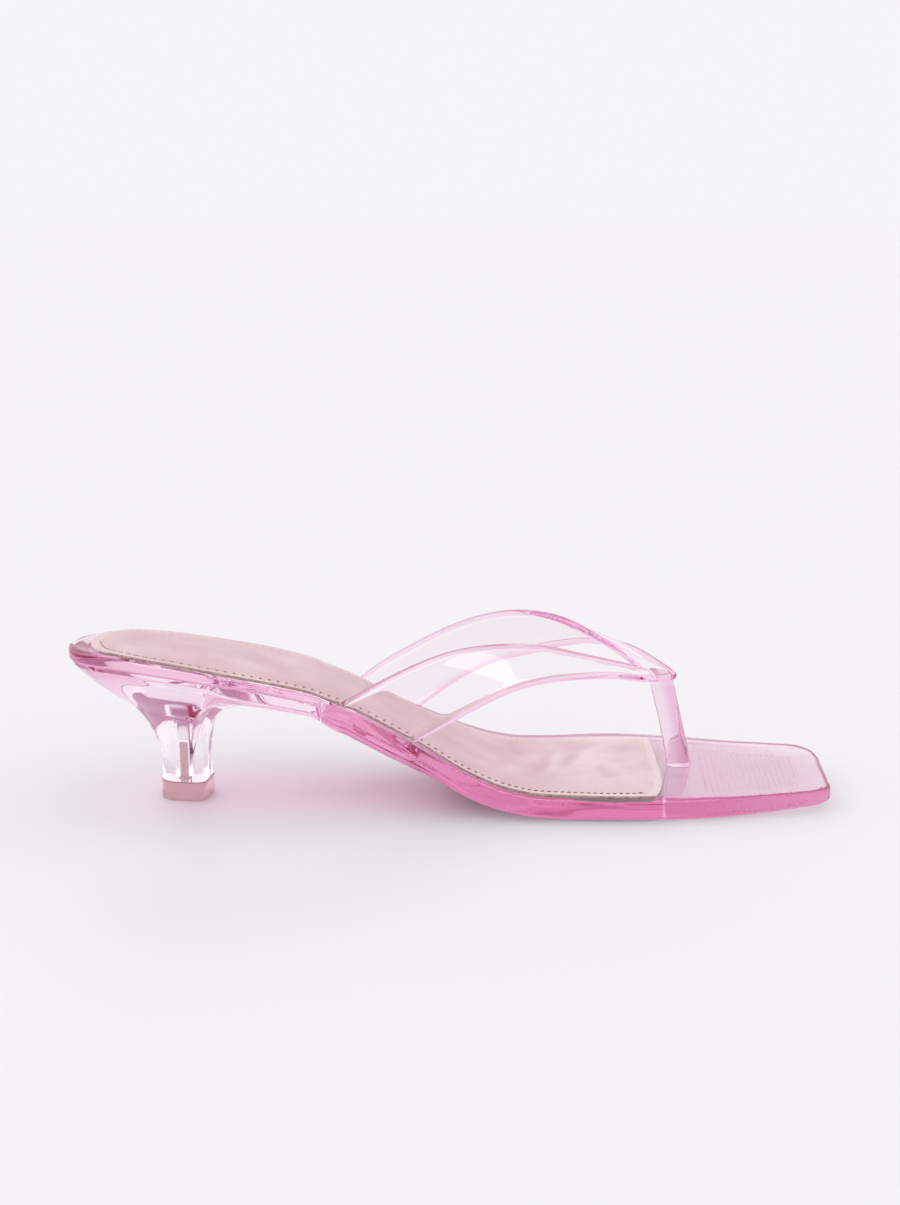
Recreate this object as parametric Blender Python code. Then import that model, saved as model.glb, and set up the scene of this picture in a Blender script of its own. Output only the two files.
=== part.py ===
# Toe post sandal for the right foot: clear pink sole, clear strap upper with its toe post,
# leather insole, clear kitten heel with its screw, and a heel tip.
# Lengths are in millimetres; +X runs to the toe, +Y to the inner side of the foot, +Z up.
import math

import bmesh
import bpy
import numpy as np
from mathutils import Vector

# Sizes that several pieces share
MILLIMETRE = 0.001
SEAT_GAP = 0.3

# Plan outline of the sole, one row per station from the back of the heel to the toe:
# outer (little toe) side x, y and inner (big toe) side x, y
OUTLINE_ROWS = (
    (-119.5, -3.0, -119.5, -3.0),
    (-118.3, -9.4, -118.3, 3.4),
    (-115.0, -16.2, -115.0, 10.2),
    (-108.0, -22.0, -108.0, 16.2),
    (-96.0, -26.6, -96.0, 21.2),
    (-80.0, -29.2, -80.0, 23.7),
    (-60.0, -30.4, -60.0, 25.3),
    (-39.0, -30.1, -39.0, 25.4),
    (-37.8, -30.0, -37.8, 25.3),
    (-22.0, -28.7, -22.0, 24.2),
    (-8.0, -30.0, -8.0, 25.8),
    (4.0, -34.4, 4.0, 31.8),
    (18.0, -37.4, 18.0, 36.6),
    (40.0, -38.7, 40.0, 39.8),
    (62.0, -39.8, 62.0, 41.4),
    (80.0, -39.0, 80.0, 38.8),
    (100.0, -35.2, 100.0, 32.2),
    (113.0, -32.6, 114.5, 27.6),
    (119.6, -30.4, 122.2, 24.0),
    (122.8, -26.6, 125.9, 18.2),
    (124.0, -19.0, 126.9, 10.0),
    (125.8, -2.0, 125.8, -2.0),
)
RUNGS_PER_ROW = 3

# Side profile of the sole, one row per section: x, height of the top face, height of the
# bottom face, height of the rounded lower edge, depth of the side ledge under the top face,
# how far the layer above the ledge is set in
PROFILE_ROWS = (
    (-120.0, 50.8, 46.3, 0.9, 2.6, 0.0),
    (-106.0, 50.6, 46.1, 0.9, 2.6, 0.0),
    (-90.0, 48.8, 44.5, 0.9, 2.5, 0.0),
    (-70.0, 45.3, 41.5, 0.8, 2.2, 0.0),
    (-50.0, 41.2, 37.9, 0.7, 1.9, 0.1),
    (-39.0, 37.9, 34.7, 0.7, 1.9, 0.5),
    (-37.8, 37.4, 28.8, 1.2, 5.0, 1.4),
    (-30.0, 34.2, 24.6, 1.4, 5.0, 1.5),
    (-20.0, 29.0, 18.8, 1.5, 5.0, 1.5),
    (-10.0, 23.6, 13.6, 1.5, 5.0, 1.3),
    (0.0, 17.9, 8.9, 1.5, 4.6, 0.5),
    (10.0, 12.9, 4.9, 1.5, 3.8, 0.1),
    (20.0, 9.3, 2.2, 1.5, 3.2, 0.0),
    (30.0, 7.5, 0.6, 1.5, 3.0, 0.0),
    (42.0, 7.1, 0.0, 1.4, 3.0, 0.0),
    (62.0, 7.0, 0.0, 1.4, 3.0, 0.0),
    (86.0, 6.7, 0.0, 1.4, 3.0, 0.0),
    (100.0, 6.6, 0.4, 1.3, 2.8, 0.0),
    (112.0, 6.7, 1.1, 1.2, 2.7, 0.0),
    (127.0, 7.0, 2.0, 1.0, 2.5, 0.0),
)
LOWER_EDGE_INSET = 2.6
TOP_EDGE_ROUND = 1.0

# Insole: margin to the sole edge by x on the outer side and on the inner side, then its own sizes
MARGIN_ROWS = (
    (-120.0, 7.0, 7.0),
    (-108.0, 3.6, 3.6),
    (-95.0, 2.3, 2.3),
    (-60.0, 2.3, 2.3),
    (-40.0, 3.4, 3.4),
    (-8.0, 3.4, 4.0),
    (20.0, 3.2, 6.5),
    (45.0, 2.6, 8.0),
    (76.0, 1.8, 8.0),
)
INSOLE_THICKNESS = 1.6
RECESS_DEPTH = 1.2
INSOLE_CORNER = 1.2
INSOLE_COLUMNS = 12
INSOLE_BACK_X = -110
INSOLE_FRONT_X = 75
INSOLE_STRIP = 6

# Front edge of the insole, one row per point from the outer side to the inner side: y, x
INSOLE_FRONT_ROWS = (
    (-39.0, 65.6),
    (-30.0, 68.7),
    (-16.0, 71.4),
    (5.0, 73.2),
    (31.0, 74.8),
)

# Heel: stem axis, half length and half width of the stem, and where it ends
STEM_X = -82.7
STEM_Y = -3.9
STEM_HALF_LENGTH = 7.6
STEM_HALF_WIDTH = 7.2
STEM_TURN = math.radians(-10)
STEM_FRONT_POWER = 6.0
STEM_BACK_POWER = 2.4
STEM_FOOT = 6.3
FLANGE_FRONT_X = -39.5
HEEL_INSET = 0.5
HEEL_SPOKES = 60
SEAT_SHARES = (0.12, 0.4, 0.7, 0.9, 1.0)
FLANGE_BEGINS = 0.25
FLANGE_FULL = 0.68

# Underside of the heel, one row per ring from the rim to the stem:
# reach (1 at the rim, 0 at the stem), depth under the seat at the back, depth at the front flange
HEEL_ROWS = (
    (1.00, 0.9, 4.8),
    (0.95, 2.4, 5.4),
    (0.88, 4.2, 5.5),
    (0.80, 6.1, 5.5),
    (0.68, 8.6, 5.6),
    (0.57, 10.6, 5.9),
    (0.46, 12.4, 6.6),
    (0.34, 14.4, 8.0),
    (0.25, 16.7, 9.4),
    (0.18, 18.9, 10.9),
    (0.12, 21.6, 12.6),
    (0.07, 24.3, 15.0),
    (0.03, 27.5, 18.4),
    (0.00, 31.0, 24.0),
)

# Heel tip, and the screw with its bore in the stem
TIP_GROW = 0.3
TIP_EDGE = 0.5
TIP_DOWEL_RADIUS = 2.0
TIP_DOWEL_TOP = 19.0
BORE_RADIUS = 2.8
BORE_TOP = 31.0
SCREW_HEAD_RADIUS = 4.5
SCREW_HEAD_HEIGHT = 5.0
SCREW_SHAFT_RADIUS = 2.4
SCREW_SHAFT_FOOT = 20.5
BAR_SIDES = 28
CUT_OVERRUN = 2.0

# Straps, one row per section from the outer foot side over the knot to the inner side:
# upper edge x, y, z and lower edge x, y, z
STRAP_ROWS = (
    (-38.4, -30.4, 33.4, -13.0, -29.4, 21.2),
    (-31.0, -29.9, 37.1, -6.8, -30.6, 24.9),
    (-22.0, -28.9, 42.0, 0.9, -31.0, 29.2),
    (-10.9, -27.2, 47.3, 10.3, -29.7, 34.1),
    (1.9, -24.3, 51.5, 21.0, -27.3, 38.6),
    (15.5, -20.2, 52.5, 32.7, -23.1, 40.7),
    (30.8, -14.2, 50.7, 46.1, -16.7, 40.4),
    (44.0, -8.1, 46.3, 58.0, -9.8, 38.9),
    (55.3, -2.6, 42.5, 68.9, -3.6, 36.5),
    (64.0, 2.0, 39.6, 77.5, 2.0, 36.7),
    (58.7, 5.9, 44.0, 72.2, 7.2, 40.0),
    (50.4, 10.6, 48.4, 64.4, 12.8, 43.4),
    (40.1, 15.7, 53.4, 54.1, 19.0, 44.4),
    (26.5, 20.4, 55.2, 41.5, 24.7, 42.2),
    (13.5, 23.5, 52.8, 30.0, 28.1, 39.1),
    (0.9, 25.3, 47.8, 18.1, 29.8, 35.2),
    (-10.2, 26.0, 42.1, 7.8, 30.0, 29.9),
    (-19.4, 25.8, 37.1, -0.3, 28.6, 24.8),
    (-29.6, 25.4, 29.6, -9.8, 25.6, 18.9),
)
STRAP_SECTIONS_PER_ROW = 4
STRAP_THICKNESS = 2.2
STRAP_CROWN = 0.4
STRAP_COLUMNS = 7
RIM_STEPS = 3

# Toe post, one row per section: centre x, y, z, half length, half width
POST_ROWS = (
    (79.0, -0.9, 4.0, 4.4, 2.6),
    (77.6, -0.2, 12.0, 4.2, 2.4),
    (75.1, 0.9, 24.0, 4.1, 2.4),
    (73.0, 1.7, 33.0, 4.2, 2.6),
    (72.2, 2.0, 37.6, 4.2, 3.2),
)
POST_FACET = 0.55
POST_TOP_SLOPE = -0.21


# Smooth curve through the rows of a table, keyed by its first column, without overshoot
def by_x(rows, column, x):
    keys = [row[0] for row in rows]
    values = [row[column] for row in rows]
    last = len(keys) - 1
    if x <= keys[0]:
        return values[0]
    if x >= keys[last]:
        return values[last]
    slopes = [(values[i + 1] - values[i]) / (keys[i + 1] - keys[i]) for i in range(last)]
    tangents = [0.0] * (last + 1)
    for i in range(1, last):
        if slopes[i - 1] * slopes[i] > 0:
            tangents[i] = 2 * slopes[i - 1] * slopes[i] / (slopes[i - 1] + slopes[i])
    place = max(i for i in range(last) if keys[i] <= x)
    step = keys[place + 1] - keys[place]
    t = (x - keys[place]) / step
    start = values[place] * (1 + 2 * t) * (1 - t) ** 2 + values[place + 1] * (3 - 2 * t) * t ** 2
    return start + step * (tangents[place] * t * (1 - t) ** 2 + tangents[place + 1] * (t - 1) * t ** 2)


# Smooth curve through a row of points, with the given number of steps between neighbours
def through(points, steps):
    points = [np.array(point, float) for point in points]
    last = len(points) - 1
    spans = [max(np.linalg.norm(points[i + 1] - points[i]), 1e-6) for i in range(last)]
    tangents = []
    for i in range(last + 1):
        if i == 0:
            tangents.append((points[1] - points[0]) / spans[0])
        elif i == last:
            tangents.append((points[last] - points[last - 1]) / spans[last - 1])
        else:
            before = (points[i] - points[i - 1]) / spans[i - 1]
            after = (points[i + 1] - points[i]) / spans[i]
            tangents.append((before * spans[i] + after * spans[i - 1]) / (spans[i] + spans[i - 1]))
    curve = []
    for i in range(last):
        for k in range(steps):
            t = k / steps
            place = points[i] * (1 + 2 * t) * (1 - t) ** 2 + points[i + 1] * (3 - 2 * t) * t ** 2
            lean = tangents[i] * t * (1 - t) ** 2 + tangents[i + 1] * (t - 1) * t ** 2
            curve.append(place + lean * spans[i])
    curve.append(points[last])
    return np.array(curve)


# One closed mesh from rings of points joined in order, with flat fans closing both ends
def loft(name, rings, collection):
    mesh = bpy.data.meshes.new(name)
    work = bmesh.new()
    grid = [[work.verts.new(Vector(point) * MILLIMETRE) for point in ring] for ring in rings]
    count = len(grid[0])
    for lower, upper in zip(grid, grid[1:]):
        for i in range(count):
            j = (i + 1) % count
            work.faces.new((lower[i], lower[j], upper[j], upper[i]))
    work.faces.new(list(reversed(grid[0])))
    work.faces.new(grid[-1])
    bmesh.ops.recalc_face_normals(work, faces=work.faces)
    work.to_mesh(mesh)
    work.free()
    return place(name, mesh, collection)


# One closed mesh from rings that share ladder rungs, so both end faces follow the rungs
def ladder(name, rings, rungs, collection):
    mesh = bpy.data.meshes.new(name)
    work = bmesh.new()
    grid = [[work.verts.new(Vector(point) * MILLIMETRE) for point in ring] for ring in rings]
    count = len(grid[0])
    for lower, upper in zip(grid, grid[1:]):
        for i in range(count):
            j = (i + 1) % count
            work.faces.new((lower[i], lower[j], upper[j], upper[i]))
    for ring, flip in ((grid[0], True), (grid[-1], False)):
        for i in range(rungs):
            face = [ring[i], ring[i + 1], ring[(-i - 1) % count], ring[(-i) % count]]
            face = list(dict.fromkeys(face))
            if flip:
                face.reverse()
            work.faces.new(face)
    bmesh.ops.recalc_face_normals(work, faces=work.faces)
    work.to_mesh(mesh)
    work.free()
    return place(name, mesh, collection)


def place(name, mesh, collection):
    piece = bpy.data.objects.new(name, mesh)
    collection.objects.link(piece)
    return piece


# Boolean step on a piece; the other solid stays in the cutters collection
def combine(piece, other, operation):
    step = piece.modifiers.new(operation.lower() + " " + other.name, "BOOLEAN")
    step.operation = operation
    step.solver = "EXACT"
    step.object = other


def paint(piece, colour, roughness, transmission):
    material = bpy.data.materials.new(piece.name)
    material.use_nodes = True
    shader = material.node_tree.nodes["Principled BSDF"]
    shader.inputs["Base Color"].default_value = colour
    shader.inputs["Roughness"].default_value = roughness
    shader.inputs["Transmission Weight"].default_value = transmission
    piece.data.materials.append(material)


# Heights of the sole at a distance along the foot
def sole_top(x):
    return by_x(PROFILE_ROWS, 1, x)


def sole_bottom(x):
    return by_x(PROFILE_ROWS, 2, x)


# Outline of the sole as one closed ring: down the outer side to the toe, back up the inner side
def sole_outline():
    outer = through([(row[0], row[1]) for row in OUTLINE_ROWS], RUNGS_PER_ROW)
    inner = through([(row[2], row[3]) for row in OUTLINE_ROWS], RUNGS_PER_ROW)
    return np.concatenate([outer, inner[-2:0:-1]]), len(outer) - 1


# The same ring drawn in by a distance that may change along it
def drawn_in(ring, inset):
    ahead = np.roll(ring, -1, axis=0)
    behind = np.roll(ring, 1, axis=0)
    along = ahead - behind
    along /= np.linalg.norm(along, axis=1)[:, None]
    inward = np.stack([-along[:, 1], along[:, 0]], axis=1)
    return ring + inward * np.asarray(inset, float).reshape(-1, 1)


# Sole, or with grow above zero the space it needs around it
def sole_rings(grow):
    ring, rungs = sole_outline()
    stations = ring[:, 0]
    top = np.array([sole_top(x) for x in stations])
    bottom = np.array([sole_bottom(x) for x in stations])
    edge = np.array([by_x(PROFILE_ROWS, 3, x) for x in stations])
    ledge = top - np.array([by_x(PROFILE_ROWS, 4, x) for x in stations])
    step = np.array([by_x(PROFILE_ROWS, 5, x) for x in stations])
    levels = (
        (LOWER_EDGE_INSET, bottom - grow),
        (LOWER_EDGE_INSET * 0.3, bottom + edge * 0.35 - grow),
        (0.0, bottom + edge),
        (0.0, ledge - 0.1 + grow),
        (step, ledge + 0.15 + grow),
        (step, top - TOP_EDGE_ROUND),
        (step + TOP_EDGE_ROUND * 0.3, top - TOP_EDGE_ROUND * 0.3 + grow),
        (step + TOP_EDGE_ROUND, top + grow),
    )
    rings = []
    for inset, height in levels:
        plan = drawn_in(ring, np.full(len(ring), -grow) + inset)
        rings.append(np.column_stack([plan, height]))
    return rings, rungs


# Outline of the insole, or with grow above zero of the recess it lies in
def insole_outline(grow):
    ring, rungs = sole_outline()
    outer = [by_x(MARGIN_ROWS, 1, x) for x in ring[: rungs + 1, 0]]
    inner = [by_x(MARGIN_ROWS, 2, x) for x in ring[rungs + 1:, 0]]
    plan = drawn_in(ring, np.array(outer + inner) - grow)
    outer_side = up_to_front(plan[: rungs + 1], grow)
    inner_side = up_to_front(plan[:rungs:-1], grow)
    first = outer_side[-1][1]
    last = inner_side[-1][1]
    front = []
    for k in range(1, INSOLE_COLUMNS):
        across = (1 - math.cos(math.pi * k / INSOLE_COLUMNS)) / 2
        y = first + (last - first) * across
        corner = INSOLE_CORNER * abs(2 * across - 1) ** 20
        front.append((front_x(y, grow) - corner, y))
    return np.vstack([outer_side, front, inner_side[::-1]])


# One side of the insole outline, from the heel to where it meets the front edge
def up_to_front(side, grow):
    count = sum(1 for point in side if point[0] < front_x(point[1], grow) - INSOLE_CORNER)
    start = side[count - 1]
    end = side[count]
    edge = front_x(end[1], grow) - INSOLE_CORNER
    share = (edge - start[0]) / (end[0] - start[0])
    return np.vstack([side[:count], start + (end - start) * share])


# Front edge of the insole, bowed forward and further forward on the inner side
def front_x(y, grow):
    return by_x(INSOLE_FRONT_ROWS, 1, y) + grow


# Insole as a plate whose two faces follow the top of the sole
def insole_plate(name, grow, low, high, collection):
    loop = insole_outline(grow)
    mesh = bpy.data.meshes.new(name)
    work = bmesh.new()
    edges = []
    ring = [work.verts.new((point[0] * MILLIMETRE, point[1] * MILLIMETRE, 0)) for point in loop]
    for i, vertex in enumerate(ring):
        edges.append(work.edges.new((vertex, ring[(i + 1) % len(ring)])))
    bmesh.ops.contextual_create(work, geom=edges)
    for x in range(INSOLE_BACK_X, INSOLE_FRONT_X, INSOLE_STRIP):
        cut = work.verts[:] + work.edges[:] + work.faces[:]
        bmesh.ops.bisect_plane(work, geom=cut, plane_co=(x * MILLIMETRE, 0, 0), plane_no=(1, 0, 0))
    lower = work.faces[:]
    raised = bmesh.ops.extrude_face_region(work, geom=lower)
    upper = [item for item in raised["geom"] if isinstance(item, bmesh.types.BMVert)]
    upper_set = set(upper)
    for vertex in work.verts:
        height = sole_top(vertex.co.x / MILLIMETRE)
        vertex.co.z = (height + (high if vertex in upper_set else low)) * MILLIMETRE
    bmesh.ops.recalc_face_normals(work, faces=work.faces)
    work.to_mesh(mesh)
    work.free()
    return place(name, mesh, collection)


# Distance from the stem axis to the stem face in a direction: rounded behind, flatter in front
def stem_reach(angle, grow):
    forward = math.cos(angle - STEM_TURN)
    sideways = math.sin(angle - STEM_TURN)
    power = STEM_FRONT_POWER if forward > 0 else STEM_BACK_POWER
    along = abs(forward) / (STEM_HALF_LENGTH + grow)
    across = abs(sideways) / (STEM_HALF_WIDTH + grow)
    return (along ** power + across ** power) ** (-1 / power)


# Distance from the stem axis to the rim of the heel seat in a direction
def rim_reach(angle, rim):
    direction = np.array([math.cos(angle), math.sin(angle)])
    normal = np.array([-direction[1], direction[0]])
    centre = np.array([STEM_X, STEM_Y])
    best = 0.0
    for start, end in zip(rim, np.roll(rim, -1, axis=0)):
        side_start = np.dot(start - centre, normal)
        side_end = np.dot(end - centre, normal)
        if side_start * side_end <= 0 and side_start != side_end:
            t = side_start / (side_start - side_end)
            best = max(best, np.dot(start + (end - start) * t - centre, direction))
    if direction[0] > 0:
        front = (FLANGE_FRONT_X - STEM_X) / direction[0]
        best = (best ** -14 + front ** -14) ** (-1 / 14)
    return best


def smooth_step(low, high, value):
    t = min(max((value - low) / (high - low), 0.0), 1.0)
    return t * t * (3 - 2 * t)


def heel_seat(x):
    return sole_bottom(min(x, FLANGE_FRONT_X + 0.2)) - SEAT_GAP


# Heel: seat face, rim, bowl and flange, and the stem
def heel_rings():
    ring, rungs = sole_outline()
    rim = drawn_in(ring, np.full(len(ring), HEEL_INSET))
    angles = [2 * math.pi * i / HEEL_SPOKES for i in range(HEEL_SPOKES)]
    reaches = [rim_reach(angle, rim) for angle in angles]
    rings = []
    for share in SEAT_SHARES:
        level = []
        for angle, reach in zip(angles, reaches):
            x = STEM_X + math.cos(angle) * reach * share
            y = STEM_Y + math.sin(angle) * reach * share
            level.append((x, y, heel_seat(x)))
        rings.append(level)
    for share, back, front in HEEL_ROWS:
        level = []
        for angle, reach in zip(angles, reaches):
            stem = stem_reach(angle, 0.0)
            distance = stem + (reach - stem) * share
            x = STEM_X + math.cos(angle) * distance
            y = STEM_Y + math.sin(angle) * distance
            forward = smooth_step(FLANGE_BEGINS, FLANGE_FULL, math.cos(angle))
            level.append((x, y, heel_seat(x) - back - (front - back) * forward))
        rings.append(level)
    rings.append(stem_ring(STEM_FOOT, 0.0))
    return rings


def stem_ring(height, grow):
    ring = []
    for i in range(HEEL_SPOKES):
        angle = 2 * math.pi * i / HEEL_SPOKES
        reach = stem_reach(angle, grow)
        ring.append((STEM_X + math.cos(angle) * reach, STEM_Y + math.sin(angle) * reach, height))
    return ring


# Round bar on the stem axis between two heights
def bar(name, radius, foot, head, collection):
    bpy.ops.mesh.primitive_cylinder_add(
        vertices=BAR_SIDES, radius=radius * MILLIMETRE, depth=(head - foot) * MILLIMETRE)
    piece = bpy.context.object
    piece.name = name
    middle = Vector((STEM_X, STEM_Y, (foot + head) / 2)) * MILLIMETRE
    for vertex in piece.data.vertices:
        vertex.co += middle
    for owner in list(piece.users_collection):
        owner.objects.unlink(piece)
    collection.objects.link(piece)
    return piece


# Straps as one band of even thickness with rounded rims
def strap_rings():
    upper = through([row[0:3] for row in STRAP_ROWS], STRAP_SECTIONS_PER_ROW)
    lower = through([row[3:6] for row in STRAP_ROWS], STRAP_SECTIONS_PER_ROW)
    middle = (upper + lower) / 2
    along = np.gradient(middle, axis=0)
    rings = []
    for first, last, tangent in zip(upper, lower, along):
        width = last - first
        normal = np.cross(width, tangent)
        normal /= np.linalg.norm(normal)
        span = np.linalg.norm(width)
        outward = width / span
        half = STRAP_THICKNESS / 2
        first = first + outward * half
        last = last - outward * half
        width = last - first
        face = []
        for k in range(STRAP_COLUMNS):
            t = k / (STRAP_COLUMNS - 1)
            face.append((t, STRAP_CROWN * 4 * t * (1 - t)))
        ring = [first + width * t + normal * (lift + half) for t, lift in face]
        for k in range(1, RIM_STEPS + 1):
            turn = math.pi * k / (RIM_STEPS + 1)
            ring.append(last + normal * half * math.cos(turn) + outward * half * math.sin(turn))
        ring += [first + width * t + normal * (lift - half) for t, lift in reversed(face)]
        for k in range(1, RIM_STEPS + 1):
            turn = math.pi * k / (RIM_STEPS + 1)
            ring.append(first - normal * half * math.cos(turn) - outward * half * math.sin(turn))
        rings.append(ring)
    return rings


# Toe post with flat facets at both edges
def post_rings():
    rings = []
    for x, y, z, half_length, half_width in POST_ROWS:
        corners = (
            (half_length, 0.0),
            (half_length * POST_FACET, half_width),
            (-half_length * POST_FACET, half_width),
            (-half_length, 0.0),
            (-half_length * POST_FACET, -half_width),
            (half_length * POST_FACET, -half_width),
        )
        slope = POST_TOP_SLOPE if z == POST_ROWS[-1][2] else 0.0
        rings.append([(x + dx, y + dy, z + slope * dx) for dx, dy in corners])
    return rings


# Shift every piece so that the whole stands on the middle of its floor area
def centre(pieces):
    bpy.context.view_layer.update()
    graph = bpy.context.evaluated_depsgraph_get()
    low = np.full(3, 1e9)
    high = np.full(3, -1e9)
    for piece in pieces:
        shape = piece.evaluated_get(graph)
        mesh = shape.to_mesh()
        points = np.array([vertex.co[:] for vertex in mesh.vertices])
        low = np.minimum(low, points.min(axis=0))
        high = np.maximum(high, points.max(axis=0))
        shape.to_mesh_clear()
    shift = Vector((-(low[0] + high[0]) / 2, -(low[1] + high[1]) / 2, -low[2]))
    for mesh in {item.data for item in bpy.data.objects}:
        for vertex in mesh.vertices:
            vertex.co += shift


for item in list(bpy.data.objects):
    bpy.data.objects.remove(item, do_unlink=True)
parts = bpy.data.collections.new("toe post sandal")
cutters = bpy.data.collections.new("cutters")
bpy.context.scene.collection.children.link(parts)
bpy.context.scene.collection.children.link(cutters)

# Sole with the recess for the insole
rings, rungs = sole_rings(0.0)
sole = ladder("sole", rings, rungs, parts)
recess = insole_plate("insole recess", SEAT_GAP, -RECESS_DEPTH, CUT_OVERRUN, cutters)
combine(sole, recess, "DIFFERENCE")
paint(sole, (0.93, 0.55, 0.80, 1.0), 0.08, 0.8)

# Insole, lying in the recess and a little proud of it
insole_foot = SEAT_GAP - RECESS_DEPTH
insole = insole_plate("insole", 0.0, insole_foot, insole_foot + INSOLE_THICKNESS, parts)
paint(insole, (0.88, 0.70, 0.68, 1.0), 0.6, 0.0)

# Heel with its stepped bore, the screw in it and the heel tip under the stem
heel = loft("heel", heel_rings(), parts)
bore = bar("stem bore", BORE_RADIUS, STEM_FOOT - CUT_OVERRUN, BORE_TOP + CUT_OVERRUN, cutters)
seat_top = heel_seat(STEM_X) + CUT_OVERRUN
screw_seat = bar("screw seat", SCREW_HEAD_RADIUS + SEAT_GAP, BORE_TOP, seat_top, cutters)
combine(heel, bore, "DIFFERENCE")
combine(heel, screw_seat, "DIFFERENCE")
paint(heel, (0.95, 0.92, 0.95, 1.0), 0.05, 0.9)
screw_foot = BORE_TOP + SEAT_GAP
screw = bar("heel_screw", SCREW_HEAD_RADIUS, screw_foot, screw_foot + SCREW_HEAD_HEIGHT, parts)
shaft = bar("screw shaft", SCREW_SHAFT_RADIUS, SCREW_SHAFT_FOOT, screw_foot + CUT_OVERRUN, cutters)
combine(screw, shaft, "UNION")
paint(screw, (0.80, 0.76, 0.80, 1.0), 0.2, 0.0)
tip_top = STEM_FOOT - SEAT_GAP
tip_levels = ((0.0, TIP_GROW - TIP_EDGE), (TIP_EDGE, TIP_GROW), (tip_top, TIP_GROW))
tip_rings = [stem_ring(height, grow) for height, grow in tip_levels]
heel_tip = loft("heel_tip", tip_rings, parts)
dowel = bar("tip dowel", TIP_DOWEL_RADIUS, tip_top - CUT_OVERRUN, TIP_DOWEL_TOP, cutters)
combine(heel_tip, dowel, "UNION")
paint(heel_tip, (0.80, 0.60, 0.60, 1.0), 0.4, 0.0)

# Upper: both straps, the knot and the toe post, trimmed to the sole it sits on
upper = loft("upper", strap_rings(), parts)
post = loft("toe post", post_rings(), cutters)
combine(upper, post, "UNION")
rings, rungs = sole_rings(SEAT_GAP)
room = ladder("sole room", rings, rungs, cutters)
combine(upper, room, "DIFFERENCE")
paint(upper, (0.95, 0.72, 0.88, 1.0), 0.06, 0.9)

for item in cutters.objects:
    item.hide_render = True
    item.display_type = "WIRE"
centre([sole, insole, heel, screw, heel_tip, upper])
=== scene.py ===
# %% [markdown]
# # A clear toe post sandal
# The sandal is moulded from clear pink plastic, so its looks come from light that passes through it.
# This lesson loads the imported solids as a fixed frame, lays finer skins over the same sizes, gives each
# skin its finish, and ends with a floor, soft light and a camera.

# %% Load the packed sandal
import math

import bmesh
import bpy
import numpy as np
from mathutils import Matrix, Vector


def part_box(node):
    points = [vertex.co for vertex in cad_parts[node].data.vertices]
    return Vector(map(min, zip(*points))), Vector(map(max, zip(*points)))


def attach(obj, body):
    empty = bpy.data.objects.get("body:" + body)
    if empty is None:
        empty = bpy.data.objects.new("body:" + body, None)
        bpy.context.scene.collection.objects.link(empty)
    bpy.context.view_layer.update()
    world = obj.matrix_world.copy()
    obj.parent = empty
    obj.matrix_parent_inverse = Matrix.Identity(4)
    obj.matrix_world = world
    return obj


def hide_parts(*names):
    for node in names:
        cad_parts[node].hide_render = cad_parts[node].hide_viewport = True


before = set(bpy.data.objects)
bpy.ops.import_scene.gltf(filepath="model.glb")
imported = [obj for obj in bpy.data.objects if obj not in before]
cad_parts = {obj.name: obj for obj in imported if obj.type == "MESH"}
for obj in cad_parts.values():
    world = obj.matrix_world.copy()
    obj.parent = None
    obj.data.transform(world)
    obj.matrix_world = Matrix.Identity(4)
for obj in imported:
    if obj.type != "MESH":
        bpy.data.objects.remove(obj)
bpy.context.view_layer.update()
bpy.ops.object.select_all(action="DESELECT")
print("packed pieces:", sorted(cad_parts))

# %% [markdown]
# ## One ruler for every piece
# All tables below are in millimetres, with x to the toe, y to the inner side of the foot and z up.
# The heel screw is a round bar on the stem's axis, so the middle of its box tells where the tables'
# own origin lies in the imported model. That is safer than typing an offset.

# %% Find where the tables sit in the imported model
MM = 0.001
STEM_X = -82.7
STEM_Y = -3.9
screw_low, screw_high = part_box("heel_screw")
PLACE = np.array([
    (screw_low.x + screw_high.x) / 2 - STEM_X * MM,
    (screw_low.y + screw_high.y) / 2 - STEM_Y * MM,
    0.0,
])
print("tables are moved by", np.round(PLACE / MM, 2), "mm")

# %% [markdown]
# ## Smooth curves through short tables
# A shoe is drawn with few sections and a batten bent through them. Two small helpers do the same here:
# one follows a column of a table along x without overshooting, the other bends a curve through points
# and can be read at any place between two rows.


# %% Curves through tables
def by_x(rows, column, x):
    keys = np.array([row[0] for row in rows])
    values = np.array([row[column] for row in rows])
    x = np.clip(np.asarray(x, float), keys[0], keys[-1])
    steps = np.diff(keys)
    slopes = np.diff(values) / steps
    before = slopes[:-1]
    after = slopes[1:]
    same = before * after > 0
    tangents = np.zeros(len(keys))
    tangents[1:-1] = np.where(same, 2 * before * after / np.where(same, before + after, 1.0), 0.0)
    i = np.clip(np.searchsorted(keys, x, side="right") - 1, 0, len(steps) - 1)
    t = (x - keys[i]) / steps[i]
    level = values[i] * (1 + 2 * t) * (1 - t) ** 2 + values[i + 1] * (3 - 2 * t) * t ** 2
    return level + steps[i] * (tangents[i] * t * (1 - t) ** 2 + tangents[i + 1] * (t - 1) * t ** 2)


def curve_at(points, places):
    points = np.array(points, float)
    chords = np.diff(points, axis=0)
    spans = np.maximum(np.linalg.norm(chords, axis=1), 1e-6)[:, None]
    lean = chords / spans
    inner = (lean[:-1] * spans[1:] + lean[1:] * spans[:-1]) / (spans[1:] + spans[:-1])
    tangents = np.concatenate([lean[:1], inner, lean[-1:]])
    places = np.clip(np.asarray(places, float), 0, len(spans))
    i = np.minimum(places.astype(int), len(spans) - 1)
    t = (places - i)[:, None]
    level = points[i] * (1 + 2 * t) * (1 - t) ** 2 + points[i + 1] * (3 - 2 * t) * t ** 2
    return level + spans[i] * (tangents[i] * t * (1 - t) ** 2 + tangents[i + 1] * (t - 1) * t ** 2)


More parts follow.
